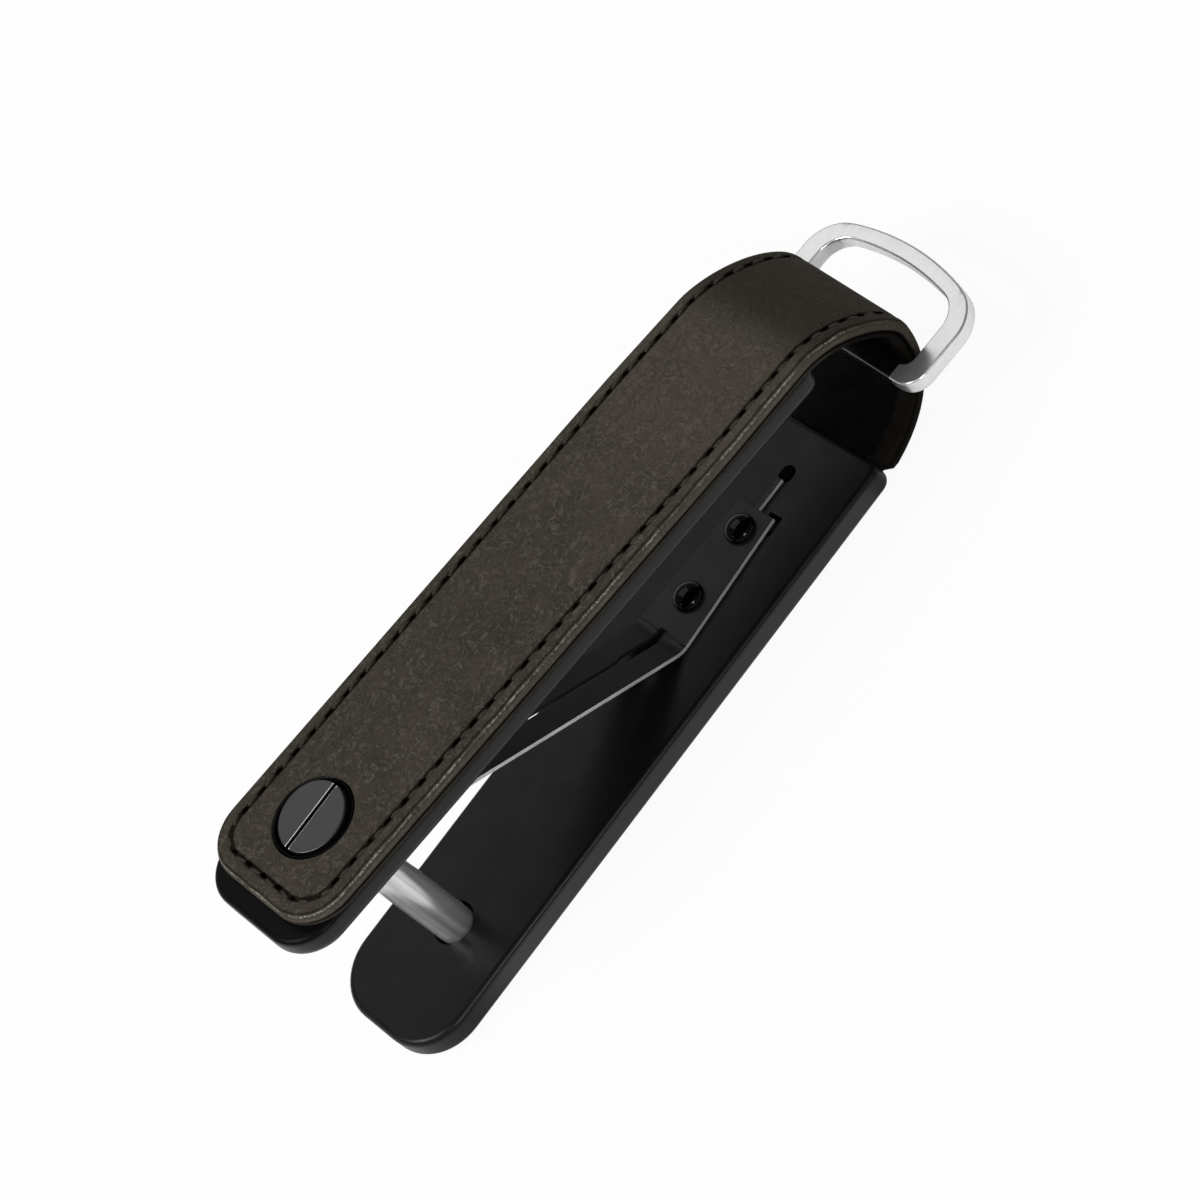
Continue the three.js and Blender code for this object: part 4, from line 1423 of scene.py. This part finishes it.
@dataclass
class Plates:
    """The two black plates, alike in outline."""

    layout: Layout
    screw_radius: float = 6.5
    upper_screw_radius: float = 5.2
    screw_steps: int = 14
    loop_radius: float = 1.6
    loop_steps: int = 8
    edge: float = 0.8
    upper_inner_edge: float = 1.5
    edge_steps: int = 6
    tail_half: float = 7.75
    tail_start: float = -11.65
    tail_radius: float = 4.75
    tail_steps: int = 10
    tail_bed: float = 2.25
    tail_bend: float = 62.5
    tail_rise: float = 0.7
    overrun: float = 4.0
    cut_depth: float = -3.0
    drill: Range = (-1.0, 6.0)
    post_hole: float = 2.6
    bore: float = 2.85
    spot_face: float = 4.75
    seat_drop: float = 2.1
    keyhole: Point = (59.4, 2.3, 1.9)
    keyhole_flat: float = 0.02
    keyhole_steps: int = 8
    lug_slot: tuple[Point, Point] = ((53.6, -2.55, -1.0), (56.1, -0.55, 6.0))
    spring_offset: float = 0.85
    side_slope: Range = (-0.2, 0.6)
    cover_slope: Range = (-0.9, 0.6)
    coat: Finish = BlackCoat("satin_black_plate")
    # A darker copy of the plates' black coat for the upper plate's flat faces: painted shade.
    shaded_cover_coat: Finish = BlackCoat("satin_black_cover", grey(0.0025), grey(0.0050), shine=0.05)
    cover_edge: Finish = BlackCoat("satin_black_cover_edge", grey(0.0045), grey(0.0080), shine=0.25)
    edge_coat: Finish = BlackCoat("polished_black_edge", polish=0.64)

    def build(self) -> None:
        """Builds both plates."""
        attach(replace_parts(self.lower(), "lower_plate"), "base")
        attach(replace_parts(self.upper(), "upper_plate"), "upper_arm")

    def _plain(self, name: str, low: tuple[float, float], size: tuple[float, float], radius: float,
               under: float) -> Workpiece:
        """A plate without its holes.

        Args:
            name: Name of the plate.
            low: Its screw end and its lower level.
            size: Its length and width.
            radius: Radius of its corners at the screw end.
            under: Rounding of its lower rim.

        Returns:
            The plate, lying level.
        """
        (start, bottom), half = low, size[1] / 2
        middle = start + size[0] / 2
        top = bottom + self.layout.plate_thickness
        work = Workpiece(name).box((start, -half, bottom), (start + size[0], half, top))
        work.rounded(work.uprights(lambda p: p.x < middle), radius, self.screw_steps)
        work.rounded(work.uprights(lambda p: p.x > middle), self.loop_radius, self.loop_steps)
        for level, edge in ((bottom, under), (top, self.edge)):
            rim = [e for e in work.rim() if all(abs(v.co.z - level) < LEVEL for v in e.verts)]
            work.rounded(rim, edge, self.edge_steps)
        return work

    def _tail_block(self, name: str, start: float) -> Workpiece:
        """A block as wide as the tail's bed, which sticks out below the lower plate and past its loop end.

        Args:
            name: Name of the block.
            start: Where it starts along X.

        Returns:
            The block.
        """
        end = self.layout.plate_start + self.layout.plate_length + self.overrun
        low, high = (start, -self.tail_half, self.cut_depth), (end, self.tail_half, self.tail_bed)
        return Workpiece(name).box(low, high)

    def _tail_cutters(self) -> tuple[Workpiece, Workpiece]:
        """The shapes of the tail's bed and of the rise at its loop end, where the tail bends up.

        Returns:
            The bed and the rise.
        """
        bed = self._tail_block("bed", self.tail_start)
        bed.rounded(bed.uprights(lambda p: p.x < 0), self.tail_radius, self.tail_steps)
        rise = self._tail_block("rise", self.tail_bend)
        for vert in rise.bm.verts:
            if vert.co.z > 0 and vert.co.x > self.tail_bend + LEVEL:
                vert.co.z += self.tail_rise
        return bed, rise

    def _keyhole_cutter(self) -> Workpiece:
        """The shape of the round-ended keyhole behind the spring.

        Returns:
            The shape.
        """
        start, length, width = self.keyhole
        near, far = self.spring_offset - width / 2, self.spring_offset + width / 2
        oval = Workpiece("oval").box((start, near, self.drill[0]), (start + length, far, self.drill[1]))
        return oval.rounded(oval.uprights(lambda p: True), width / 2 - self.keyhole_flat, self.keyhole_steps)

    def lower(self) -> bpy.types.Object:
        """The lower plate, with the bed of the tail and the holes for the post and the spring.

        Returns:
            The piece, with its long sides as a second material.
        """
        work = self._plain("lower_plate_moulding", (self.layout.plate_start, self.layout.plate_bottom),
                           (self.layout.plate_length, self.layout.plate_width), self.screw_radius, self.edge)
        post = Workpiece("post").rod(self.post_hole, *self.drill)
        slot = Workpiece("slot").box(*self.lug_slot)
        work.cut(*self._tail_cutters(), self._keyhole_cutter(), post, slot)
        least, most = self.side_slope
        for face in work.bm.faces:
            outside = abs(face.calc_center_median().y) > self.layout.plate_width / 2 - self.edge
            face.material_index = int(outside and least < face.normal.z < most)
        return work.moved(self.layout.origin).outward().finished(self.coat, self.edge_coat)

    def upper(self) -> bpy.types.Object:
        """The upper plate, with the bore for the post and the seat of the screw.

        Returns:
            The piece, with its sides as a second material.
        """
        work = self._plain("upper_plate_moulding", (self.layout.arm_plate_start, self.layout.arm_inner),
                           (self.layout.upper_length, self.layout.upper_width), self.upper_screw_radius,
                           self.upper_inner_edge)
        work.moved(self.layout.arm)
        seat = self.layout.height_at_post(self.layout.arm_strap_top) - self.seat_drop
        bore = Workpiece("bore").rod(self.bore, self.layout.plate_top, seat + self.overrun)
        spot = Workpiece("spot").rod(self.spot_face, seat, seat + self.overrun)
        work.cut(bore, spot).outward()
        least, most = self.cover_slope
        for face in work.bm.faces:
            # Flat faces take the darker, painted-shade coat; the sides take the edge coat.
            face.material_index = int(least < face.normal.z < most)
        return work.moved(self.layout.origin).finished(self.shaded_cover_coat, self.cover_edge)


@dataclass
class Fastening:
    """The barrel post, the clamp screw and the eyelet round its head."""

    layout: Layout
    post_radius: float = 2.25
    post_head: float = 4.2
    post_bottom: float = 0.1
    post_bore: float = 1.65
    post_entry: float = 1.0
    bore_depth: float = 4.2
    bed: float = 2.2
    bed_slope: float = 0.9
    screw_head: float = 4.15
    head_height: float = 2.2
    head_proud: float = 0.4
    head_steps: int = 96
    under_chamfer: float = 0.1
    crown: Range = (0.08, 0.3)
    chamfer: float = 0.25
    slot_half: float = 0.25
    slot_depth: float = 0.8
    slot_lip: float = 0.07
    slot_angle: float = 60.0
    lip_slope: Range = (0.2, 0.98)
    lip_steps: int = 2
    shank: float = 1.1
    engagement: float = 3.3
    eyelet_outer: float = 4.75
    eyelet_wall: float = 0.3
    eyelet_lift: float = 0.3
    roll_height: float = 0.12
    roll_inset: float = 0.05
    roll_drop: float = 0.03
    roll_crest: float = 0.15
    post_steel: Finish = BrushedMetal("drawn_steel", grey(0.56), grey(0.94), 0.2, 0.26, (1.5, 1.5, 0.02),
                                      (0.8, 0.8, 0.02), 0.0, 0.74)
    gunmetal: Finish = BrushedMetal("gunmetal_screw", grey(0.088), grey(0.104), 0.34, 0.42, (0.6, 5.0, 3.0),
                                    (0.2, 0.5, 0.5), 0.0)
    # Bright finish on the slot's lips: a painted highlight.
    pale_edges: Finish = BrushedMetal("slot_lip_highlight", grey(0.50), grey(0.75), 0.35, 0.5, (0.6, 5.0, 3.0),
                                (0.2, 0.5, 0.5), 0.0, 0.3)
    black: Finish = BlackCoat("black_eyelet", grey(0.0006), grey(0.002), 0.5, 0.7, 0.01, 0.05)

    def build(self) -> None:
        """Builds the three turned parts."""
        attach(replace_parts(self.post(), "barrel_post"), "base")
        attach(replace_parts(self.screw(), "clamp_screw"), "screw")
        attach(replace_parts(self.eyelet(), "screw_eyelet"), "upper_arm")

    @property
    def post_top(self) -> float:
        """Level of the post's upper end, inside the upper plate's bore."""
        return self.layout.plate_top + self.layout.key_gap + self.post_entry

    def _slot(self, level: float, radius: float) -> Workpiece:
        """The driver slot across a head, centred on a level."""
        return Workpiece("slot").box((-2 * radius, -self.slot_half, level - self.slot_depth),
                                     (2 * radius, self.slot_half, level + self.slot_depth))

    def post(self) -> bpy.types.Object:
        """The post with its slotted head under the lower plate.

        Returns:
            The piece, with the head's seat as a second, black material: painted shade in the gap.
        """
        top, edge = self.post_top, self.chamfer
        work = Workpiece("steel_post").turned([
            (0, self.post_bottom),
            (self.post_head - edge, self.post_bottom),
            (self.post_head, self.post_bottom + edge),
            (self.post_head, self.bed),
            (self.post_radius, self.bed),
            (self.post_radius, top - edge),
            (self.post_radius - edge, top),
            (self.post_bore, top),
            (self.post_bore, top - self.bore_depth),
            (0, top - self.bore_depth),
        ])
        work.cut(self._slot(self.post_bottom, self.post_head)).outward()
        # The seat, seen through the gap round the post, is painted shade in black.
        for face in work.bm.faces:
            seated = abs(face.calc_center_median().z - self.bed) < LEVEL
            face.material_index = int(seated and face.normal.z > self.bed_slope)
        return work.moved(self.layout.origin).finished(self.post_steel, self.black)

    def screw(self) -> bpy.types.Object:
        """The screw with its wide slotted head, turned by half a division so that its slot meets whole faces.

        Returns:
            The piece, with the slot's lips in a bright finish, a painted highlight, as a second material.
        """
        top = self.layout.height_at_post(self.layout.arm_strap_top) + self.head_proud
        seat, tip = top - self.head_height, self.post_top - self.engagement
        edge, under, (crown, crown_share) = self.chamfer, self.under_chamfer, self.crown
        work = Workpiece("slotted_screw").turned([
            (0, tip),
            (self.shank - edge, tip),
            (self.shank, tip + edge),
            (self.shank, seat),
            (self.screw_head - under, seat),
            (self.screw_head, seat + under),
            (self.screw_head, top - edge),
            (self.screw_head - crown, top - edge * crown_share),
            (self.screw_head - edge, top),
            (0, top),
        ], self.head_steps)
        work.moved(Matrix.Rotation(math.pi / self.head_steps, 4, "Z")).cut(self._slot(top, self.screw_head))
        lips = [e for e in work.rim(self.slot_angle)
                if all(abs(v.co.z - top) < LEVEL and abs(v.co.y) < 2 * self.slot_half for v in e.verts)]
        work.rounded(lips, self.slot_lip, self.lip_steps).outward()
        least, most = self.lip_slope
        for face in work.bm.faces:
            beside = abs(face.calc_center_median().y) < self.slot_half + self.slot_lip
            face.material_index = int(beside and least < face.normal.z < most)
        return work.moved(self.layout.origin).finished(self.gunmetal, self.pale_edges)

    def eyelet(self) -> bpy.types.Object:
        """The eyelet, a thin ring with a rolled upper lip.

        Returns:
            The piece.
        """
        bottom, top = self.layout.arm_plate_top + self.eyelet_lift, self.layout.arm_strap_top
        outer, inner = self.eyelet_outer, self.eyelet_outer - self.eyelet_wall
        side, brow = top - self.roll_height, top - self.roll_drop
        work = Workpiece("black_eyelet").turned([
            (inner, bottom),
            (outer, bottom),
            (outer, side),
            (outer - self.roll_inset, brow),
            (outer - self.roll_crest, top),
            (inner + self.roll_inset, brow),
            (inner, side),
            (inner, bottom),
        ], self.head_steps)
        work.moved(Matrix.Translation((self.layout.eyelet_station, 0, 0))).moved(self.layout.arm)
        return work.moved(self.layout.origin).outward().finished(self.black)


class Side(Enum):
    """The two fingers of the spring."""

    NEAR = -1
    FAR = 1


@dataclass
class LeafSpring:
    """The leaf spring: a riveted base and two fingers that rise to the post."""

    layout: Layout
    bend_x: float = 37.7
    root: float = 0.9
    base_length: float = 17.8
    offset: float = 0.85
    half: float = 3.9
    tail_half: float = 2.8
    thickness: float = 0.5
    seat: float = 0.05
    finger_run: float = 29.6
    tip_drop: float = 4.1
    tip_radius: float = 1.2
    tip_share: float = 0.35
    slit_half: float = 0.3
    relief_half: float = 0.65
    relief_length: float = 5.0
    notch: float = 1.2
    tongue_half: float = 0.35
    tongue_length: float = 4.2
    lug: Point = (1.3, 0.8, 0.7)
    lug_inset: Range = (0.05, 0.1)
    edge: float = 0.05
    edge_steps: int = 2
    edge_angle: float = 70.0
    bare_slope: float = -0.5
    bare_side: float = -0.3
    bend_step: float = 0.2
    bend_parts: int = 12
    rivet_first: float = 5.6
    rivet_pitch: float = 9.3
    rivet_head: float = 1.85
    rivet_height: float = 1.2
    rivet_rim: float = 0.12
    rivet_undercut: float = 0.06
    rivet_shank: float = 0.9
    rivet_depth: float = 0.8
    rivet_steps: int = 48
    dome_steps: int = 12
    blued: Finish = BlackCoat("blued_spring_steel", grey(0.0110), grey(0.0170), 0.26, 0.38)
    bare_edge_sheen: Finish = BrushedMetal("bare_steel_edge_sheen", grey(0.40), grey(0.60), 0.35, 0.5, (0.4, 4.0, 6.0),
                                   (0.15, 0.8, 0.8), 0.002, 0.3)
    gloss: Finish = BlackCoat("gloss_black_rivet", grey(0.0008), grey(0.0020), 0.05, 0.09, 0.0005, 0.18)

    @property
    def climb(self) -> float:
        """Slope of the fingers."""
        gap = self.layout.key_gap - (self.bend_x - self.finger_run) * math.tan(self.layout.lean)
        return math.atan2(gap - self.tip_drop, self.finger_run)

    @property
    def level(self) -> float:
        """Level of the base's underside."""
        return self.layout.plate_top + self.seat

    def build(self) -> None:
        """Builds the base, the fingers and the rivets."""
        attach(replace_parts(self.base(), "spring_base"), "base")
        for side in Side:
            name = side.name.lower()
            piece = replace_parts(self.finger(side), f"spring_finger_{name}")
            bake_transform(piece)
        for node, station in (("rivet_front", 0.0), ("rivet_rear", self.rivet_pitch)):
            piece = self.rivet(node, self.rivet_first + station)
            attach(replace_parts(piece, node), "base")

    def _edged(self, work: Workpiece) -> Workpiece:
        """Rounds a sheet's rims and bares the steel on its near outer cut edge, bright as a painted
        highlight.

        Args:
            work: The flat sheet.

        Returns:
            The sheet, with the bare, highlighted edge as a second material.
        """
        work.rounded(work.rim(self.edge_angle), self.edge, self.edge_steps)
        # Only the near side's cut edge gets the bright bare steel: partly its real cut edge, partly a painted
        # highlight.
        for face in work.bm.faces:
            outer = face.calc_center_median().y < self.bare_side
            face.material_index = int(outer and face.normal.y < self.bare_slope)
        return work

    def base(self) -> bpy.types.Object:
        """The base with its slit's notch, the rear tongue and the lug bent into the plate.

        Returns:
            The piece.
        """
        start, end = self.bend_x + self.root, self.bend_x + self.base_length
        tip, notch, relief = end + self.tongue_length, self.bend_x + self.notch, self.relief_half
        near = [(start, -self.half), (end, -self.tail_half), (end, -self.tongue_half),
                (tip, -self.tongue_half)]
        far = [(x, -y) for x, y in reversed(near)]
        slit = [(start, relief), (notch, relief), (notch, -relief), (start, -relief)]
        work = Workpiece("spring_leaf").sheet(near + far + slit, self.level, self.level + self.thickness)
        self._edged(work)
        length, width, depth = self.lug
        behind, below = self.lug_inset
        work.box((end - length, -self.tail_half, self.layout.plate_top - depth),
                 (end - behind, -self.tail_half + width, self.level + self.thickness - below))
        work.moved(Matrix.Translation((0, self.offset, 0)))
        return work.moved(self.layout.origin).outward().finished(self.blued, self.bare_edge_sheen)

    def finger(self, side: Side) -> bpy.types.Object:
        """One finger, from its bend at the base to its tip.

        Args:
            side: Which of the two.

        Returns:
            The piece.
        """
        rise = math.tan(self.climb) * self.finger_run
        length = math.hypot(self.finger_run, rise) + self.root
        relief, tip = self.root + self.relief_length, self.tip_radius
        cut = self.tip_share * tip
        outline = [(0, self.relief_half), (relief, self.relief_half),
                   (relief + self.relief_half, self.slit_half), (length, self.slit_half),
                   (length, self.half - tip), (length - cut, self.half - cut),
                   (length - tip, self.half), (0, self.half)]
        work = Workpiece(f"spring_finger_{side.name.lower()}_leaf")
        work.sheet([(x, side.value * y) for x, y in outline], 0, self.thickness)
        self._edged(work).sliced(Axis.X, [self.bend_step * k for k in range(1, self.bend_parts)])
        radius = self.root / math.tan(self.climb / 2)
        for vert in work.bm.verts:
            vert.co = self._bent(vert.co, radius)
        return work.moved(self.layout.origin).outward().finished(self.blued, self.bare_edge_sheen)

    def _bent(self, flat: Vector, radius: float) -> Vector:
        """Bends a point of the flat finger up from the base.

        Args:
            flat: The point on the flat finger, from its root.
            radius: Radius of the bend at the underside.

        Returns:
            The point, from the post's axis.
        """
        turn = min(flat.x / radius, self.climb)
        rest = flat.x - turn * radius
        x = (radius - flat.z) * math.sin(turn) + rest * math.cos(turn)
        z = radius - (radius - flat.z) * math.cos(turn) + rest * math.sin(turn)
        return Vector((self.bend_x + self.root - x, flat.y + self.offset, self.level + z))

    def rivet(self, node: str, station: float) -> bpy.types.Object:
        """A dome rivet with a narrow rim.

        Args:
            node: The CAD node it stands for.
            station: Its distance from the bend.

        Returns:
            The rivet.
        """
        seat = self.level + self.thickness + self.seat
        foot, crown = self.layout.plate_top - self.rivet_depth, self.rivet_height - self.rivet_rim
        turns = [math.pi / 2 * k / self.dome_steps for k in range(self.dome_steps)]
        dome = [(self.rivet_head * math.cos(a), seat + self.rivet_rim + crown * math.sin(a)) for a in turns]
        work = Workpiece(f"{node}_dome").turned([
            (0, foot),
            (self.rivet_shank, foot),
            (self.rivet_shank, seat),
            (self.rivet_head - self.rivet_undercut, seat),
            *dome,
            (0, seat + self.rivet_height),
        ], self.rivet_steps)
        work.moved(Matrix.Translation((self.bend_x + station, self.offset, 0)))
        return work.moved(self.layout.origin).outward().finished(self.gloss)


@dataclass
class DRing:
    """The flat D-ring in the loop, straight on the bar and bowed on the outside."""

    layout: Layout
    length: float = 13.65
    thickness: float = 2.0
    bar: float = 2.0
    bow: float = 2.0
    inner_half: float = 10.2
    arm: float = 2.7
    bow_curve: float = 34.0
    bow_steps: int = 24
    bar_radius: float = 2.6
    bow_radius: float = 3.5
    corner_steps: int = 8
    corner_reach: float = 1.02
    edge: float = 0.3
    edge_steps: int = 3
    edge_angle: float = 60.0
    slack: float = 1.3
    drop: float = 4.0
    held_half: float = 9.2
    steel: Finish = BrushedMetal("brushed_ring_steel", grey(0.82), grey(0.90), 0.24, 0.3, (0.5, 2.0, 2.0),
                                 (0.2, 0.3, 0.3), 0.0, 0.86)
    bar_shade: Finish = BrushedMetal("ring_bar_shade", grey(0.10), grey(0.16), 0.25, 0.35, (0.5, 5.0, 3.0),
                                    (0.3, 0.5, 0.5), 0.0005)

    def build(self) -> None:
        """Builds the ring."""
        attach(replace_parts(self.ring(), "d_ring"), "ring")

    def _outline(self, bm: bmesh.types.BMesh, low: float, high: float, half: float,
                 radii: tuple[float, float]) -> list[bmesh.types.BMEdge]:
        """Adds a flat D-shaped outline.

        Args:
            bm: The mesh of the ring.
            low: The bar's side in X.
            high: The middle of the bow in X.
            half: Half its width.
            radii: Radius of the corners at the bar and at the bow.

        Returns:
            The edges of the outline.
        """
        middle = (low + high) / 2
        place = Matrix.Translation((middle, 0, 0)) @ Matrix.Diagonal((high - low, 2 * half, 1, 1))
        grid = bmesh.ops.create_grid(bm, x_segments=1, y_segments=self.bow_steps, size=0.5, matrix=place)
        made = grid["verts"]
        bmesh.ops.dissolve_edges(bm, edges=[e for e in bm.edges if len(e.link_faces) == 2])
        corners = [v for v in made if abs(abs(v.co.y) - half) < WELD]
        ends = [v for v in corners if v.co.x < middle], [v for v in corners if v.co.x > middle]
        for vert in made:
            if vert.co.x > middle:
                vert.co.x -= vert.co.y ** 2 / (2 * self.bow_curve)
        for end, radius in zip(ends, radii):
            for corner in end:
                near = [v for v in corner.link_faces[0].verts if v not in corners
                        and (v.co - corner.co).length < radius * self.corner_reach]
                bmesh.ops.dissolve_verts(bm, verts=near)
            bmesh.ops.bevel(bm, geom=end, offset=radius, offset_type="OFFSET", affect="VERTICES",
                            segments=self.corner_steps, profile=0.5, material=-1)
        area = next(iter(bm.faces))
        edges = list(area.edges)
        bmesh.ops.delete(bm, geom=[area], context="FACES_ONLY")
        return edges

    def ring(self) -> bpy.types.Object:
        """The ring, bridged between its two outlines and raised to its thickness.

        Returns:
            The piece, with the bar inside the loop in a darker steel, painted shade, as a second material.
        """
        work = Workpiece("d_ring_steel")
        start, end = -self.length / 2, self.length / 2
        outer = self._outline(work.bm, start, end, self.inner_half + self.arm,
                              (self.bar_radius, self.bow_radius))
        inner = self._outline(work.bm, start + self.bar, end - self.bow, self.inner_half,
                              (self.bar_radius / 2, self.bow_radius - self.bow / 2))
        faces = bmesh.ops.bridge_loops(work.bm, edges=outer + inner)["faces"]
        bmesh.ops.translate(work.bm, verts=work.bm.verts[:], vec=(0, 0, -self.thickness / 2))
        work.raised(faces, self.thickness).rounded(work.rim(self.edge_angle), self.edge, self.edge_steps)
        work.sliced(Axis.Y, (-self.held_half, self.held_half))
        # The bar inside the loop takes the darker steel as painted shade.
        for face in work.bm.faces:
            spot = face.calc_center_median()
            face.material_index = int(spot.x < start + self.bar + self.edge and abs(spot.y) < self.held_half)
        middle = self.layout.apex[0] - self.layout.stack - self.slack - self.bar + self.length / 2
        hung = Matrix.Translation((middle, 0, self.layout.apex[1] - self.drop))
        work.moved(hung @ Matrix.Rotation(-self.layout.skew, 4, "Z"))
        return work.moved(self.layout.origin).outward().finished(self.steel, self.bar_shade)


@dataclass(frozen=True)
class Lamp:
    """A square lamp that faces the organizer, in metres and watts."""

    name: str
    place: Point
    size: float
    power: float

    def hang(self) -> None:
        """Adds the lamp to the scene."""
        data = bpy.data.lights.new(self.name, "AREA")
        data.size = self.size
        data.energy = self.power
        lamp = bpy.data.objects.new(self.name, data)
        turn = (-Vector(self.place)).to_track_quat("-Z", "Y").to_matrix().to_4x4()
        lamp.matrix_world = Matrix.Translation(self.place) @ turn
        bpy.context.scene.collection.objects.link(lamp)


@dataclass
class Studio:
    """The floor, the lamps and the camera, in metres apart from the lens and its sensor."""

    camera_place: Point = (-0.03286, -0.26518, 0.30849)
    camera_right: Point = (0.60463, -0.62203, -0.49748)
    camera_up: Point = (0.79232, 0.40582, 0.45555)
    camera_back: Point = (-0.08148, -0.66961, 0.73823)
    lens: float = 112.37
    sensor: float = 36.0
    clip: Range = (0.01, 50.0)
    ambient: float = 0.36
    horizon: float = 0.45
    overhead: float = 0.14
    overhead_rise: float = 0.4
    floor_half: float = 3.0
    floor_parts: int = 8
    floor_level: float = -0.05 * MM
    floor: Finish = StudioFloor("studio_paper")
    lamps: tuple[Lamp, ...] = (
        Lamp("key_lamp", (-0.60, 0.12, 0.76), 0.40, 5.3),
        Lamp("front_lamp", (-0.125, -0.58, 0.55), 0.22, 1.5),
        Lamp("far_lamp", (0.11, 0.58, 0.66), 0.50, 0.65),
    )

    def build(self) -> None:
        """Sets up the studio."""
        self._floor()
        self._world()
        for lamp in self.lamps:
            lamp.hang()
        self._camera()
        bpy.context.scene.view_settings.view_transform = "Standard"

    def _floor(self) -> None:
        """Lays the floor just under the organizer."""
        bm = bmesh.new()
        place, parts = Matrix.Translation((0, 0, self.floor_level)), self.floor_parts
        bmesh.ops.create_grid(bm, x_segments=parts, y_segments=parts, size=self.floor_half, matrix=place)
        mesh = bpy.data.meshes.new("studio_floor")
        bm.to_mesh(mesh)
        bm.free()
        mesh.materials.append(self.floor.material())
        floor = bpy.data.objects.new("studio_floor", mesh)
        bpy.context.scene.collection.objects.link(floor)

    def _world(self) -> None:
        """Makes the world white where it is seen, dimmer as light and dimmer overhead in reflections."""
        world = bpy.data.worlds.new("studio")
        world.use_nodes = True
        graph = Graph(world.node_tree)
        direct, glossy = graph.rays()
        rise = graph.part(graph.read("ShaderNodeTexCoord", output="Generated"), 2)
        mirrored = rise.step(0.0, self.overhead_rise, self.horizon, self.overhead)
        strength = direct * (1.0 - self.ambient) + glossy * (mirrored - self.ambient) + self.ambient
        back = graph.read("ShaderNodeBackground", None, {"Color": (*grey(1.0), 1.0), "Strength": strength})
        graph.node("ShaderNodeOutputWorld", None, {"Surface": back})
        bpy.context.scene.world = world

    def _camera(self) -> None:
        """Sets the camera where the photograph was taken from."""
        data = bpy.data.cameras.new("camera")
        data.sensor_fit = "HORIZONTAL"
        data.sensor_width = self.sensor
        data.lens = self.lens
        data.clip_start, data.clip_end = self.clip
        camera = bpy.data.objects.new("camera", data)
        axes = Matrix((self.camera_right, self.camera_up, self.camera_back)).transposed()
        camera.matrix_world = Matrix.Translation(self.camera_place) @ axes.to_4x4()
        bpy.context.scene.collection.objects.link(camera)
        bpy.context.scene.camera = camera


def main() -> None:
    """Builds the organizer's sub-assemblies and the studio in order."""
    logging.basicConfig(level=logging.INFO, format="%(message)s")
    layout = Layout()
    Studio().build()
    assemblies = (Strap(StrapPath(layout)), Plates(layout), Fastening(layout), LeafSpring(layout),
                  DRing(layout))
    for assembly in assemblies:
        log.info("building %s", type(assembly).__name__)
        assembly.build()


if __name__ == "__main__":
    main()
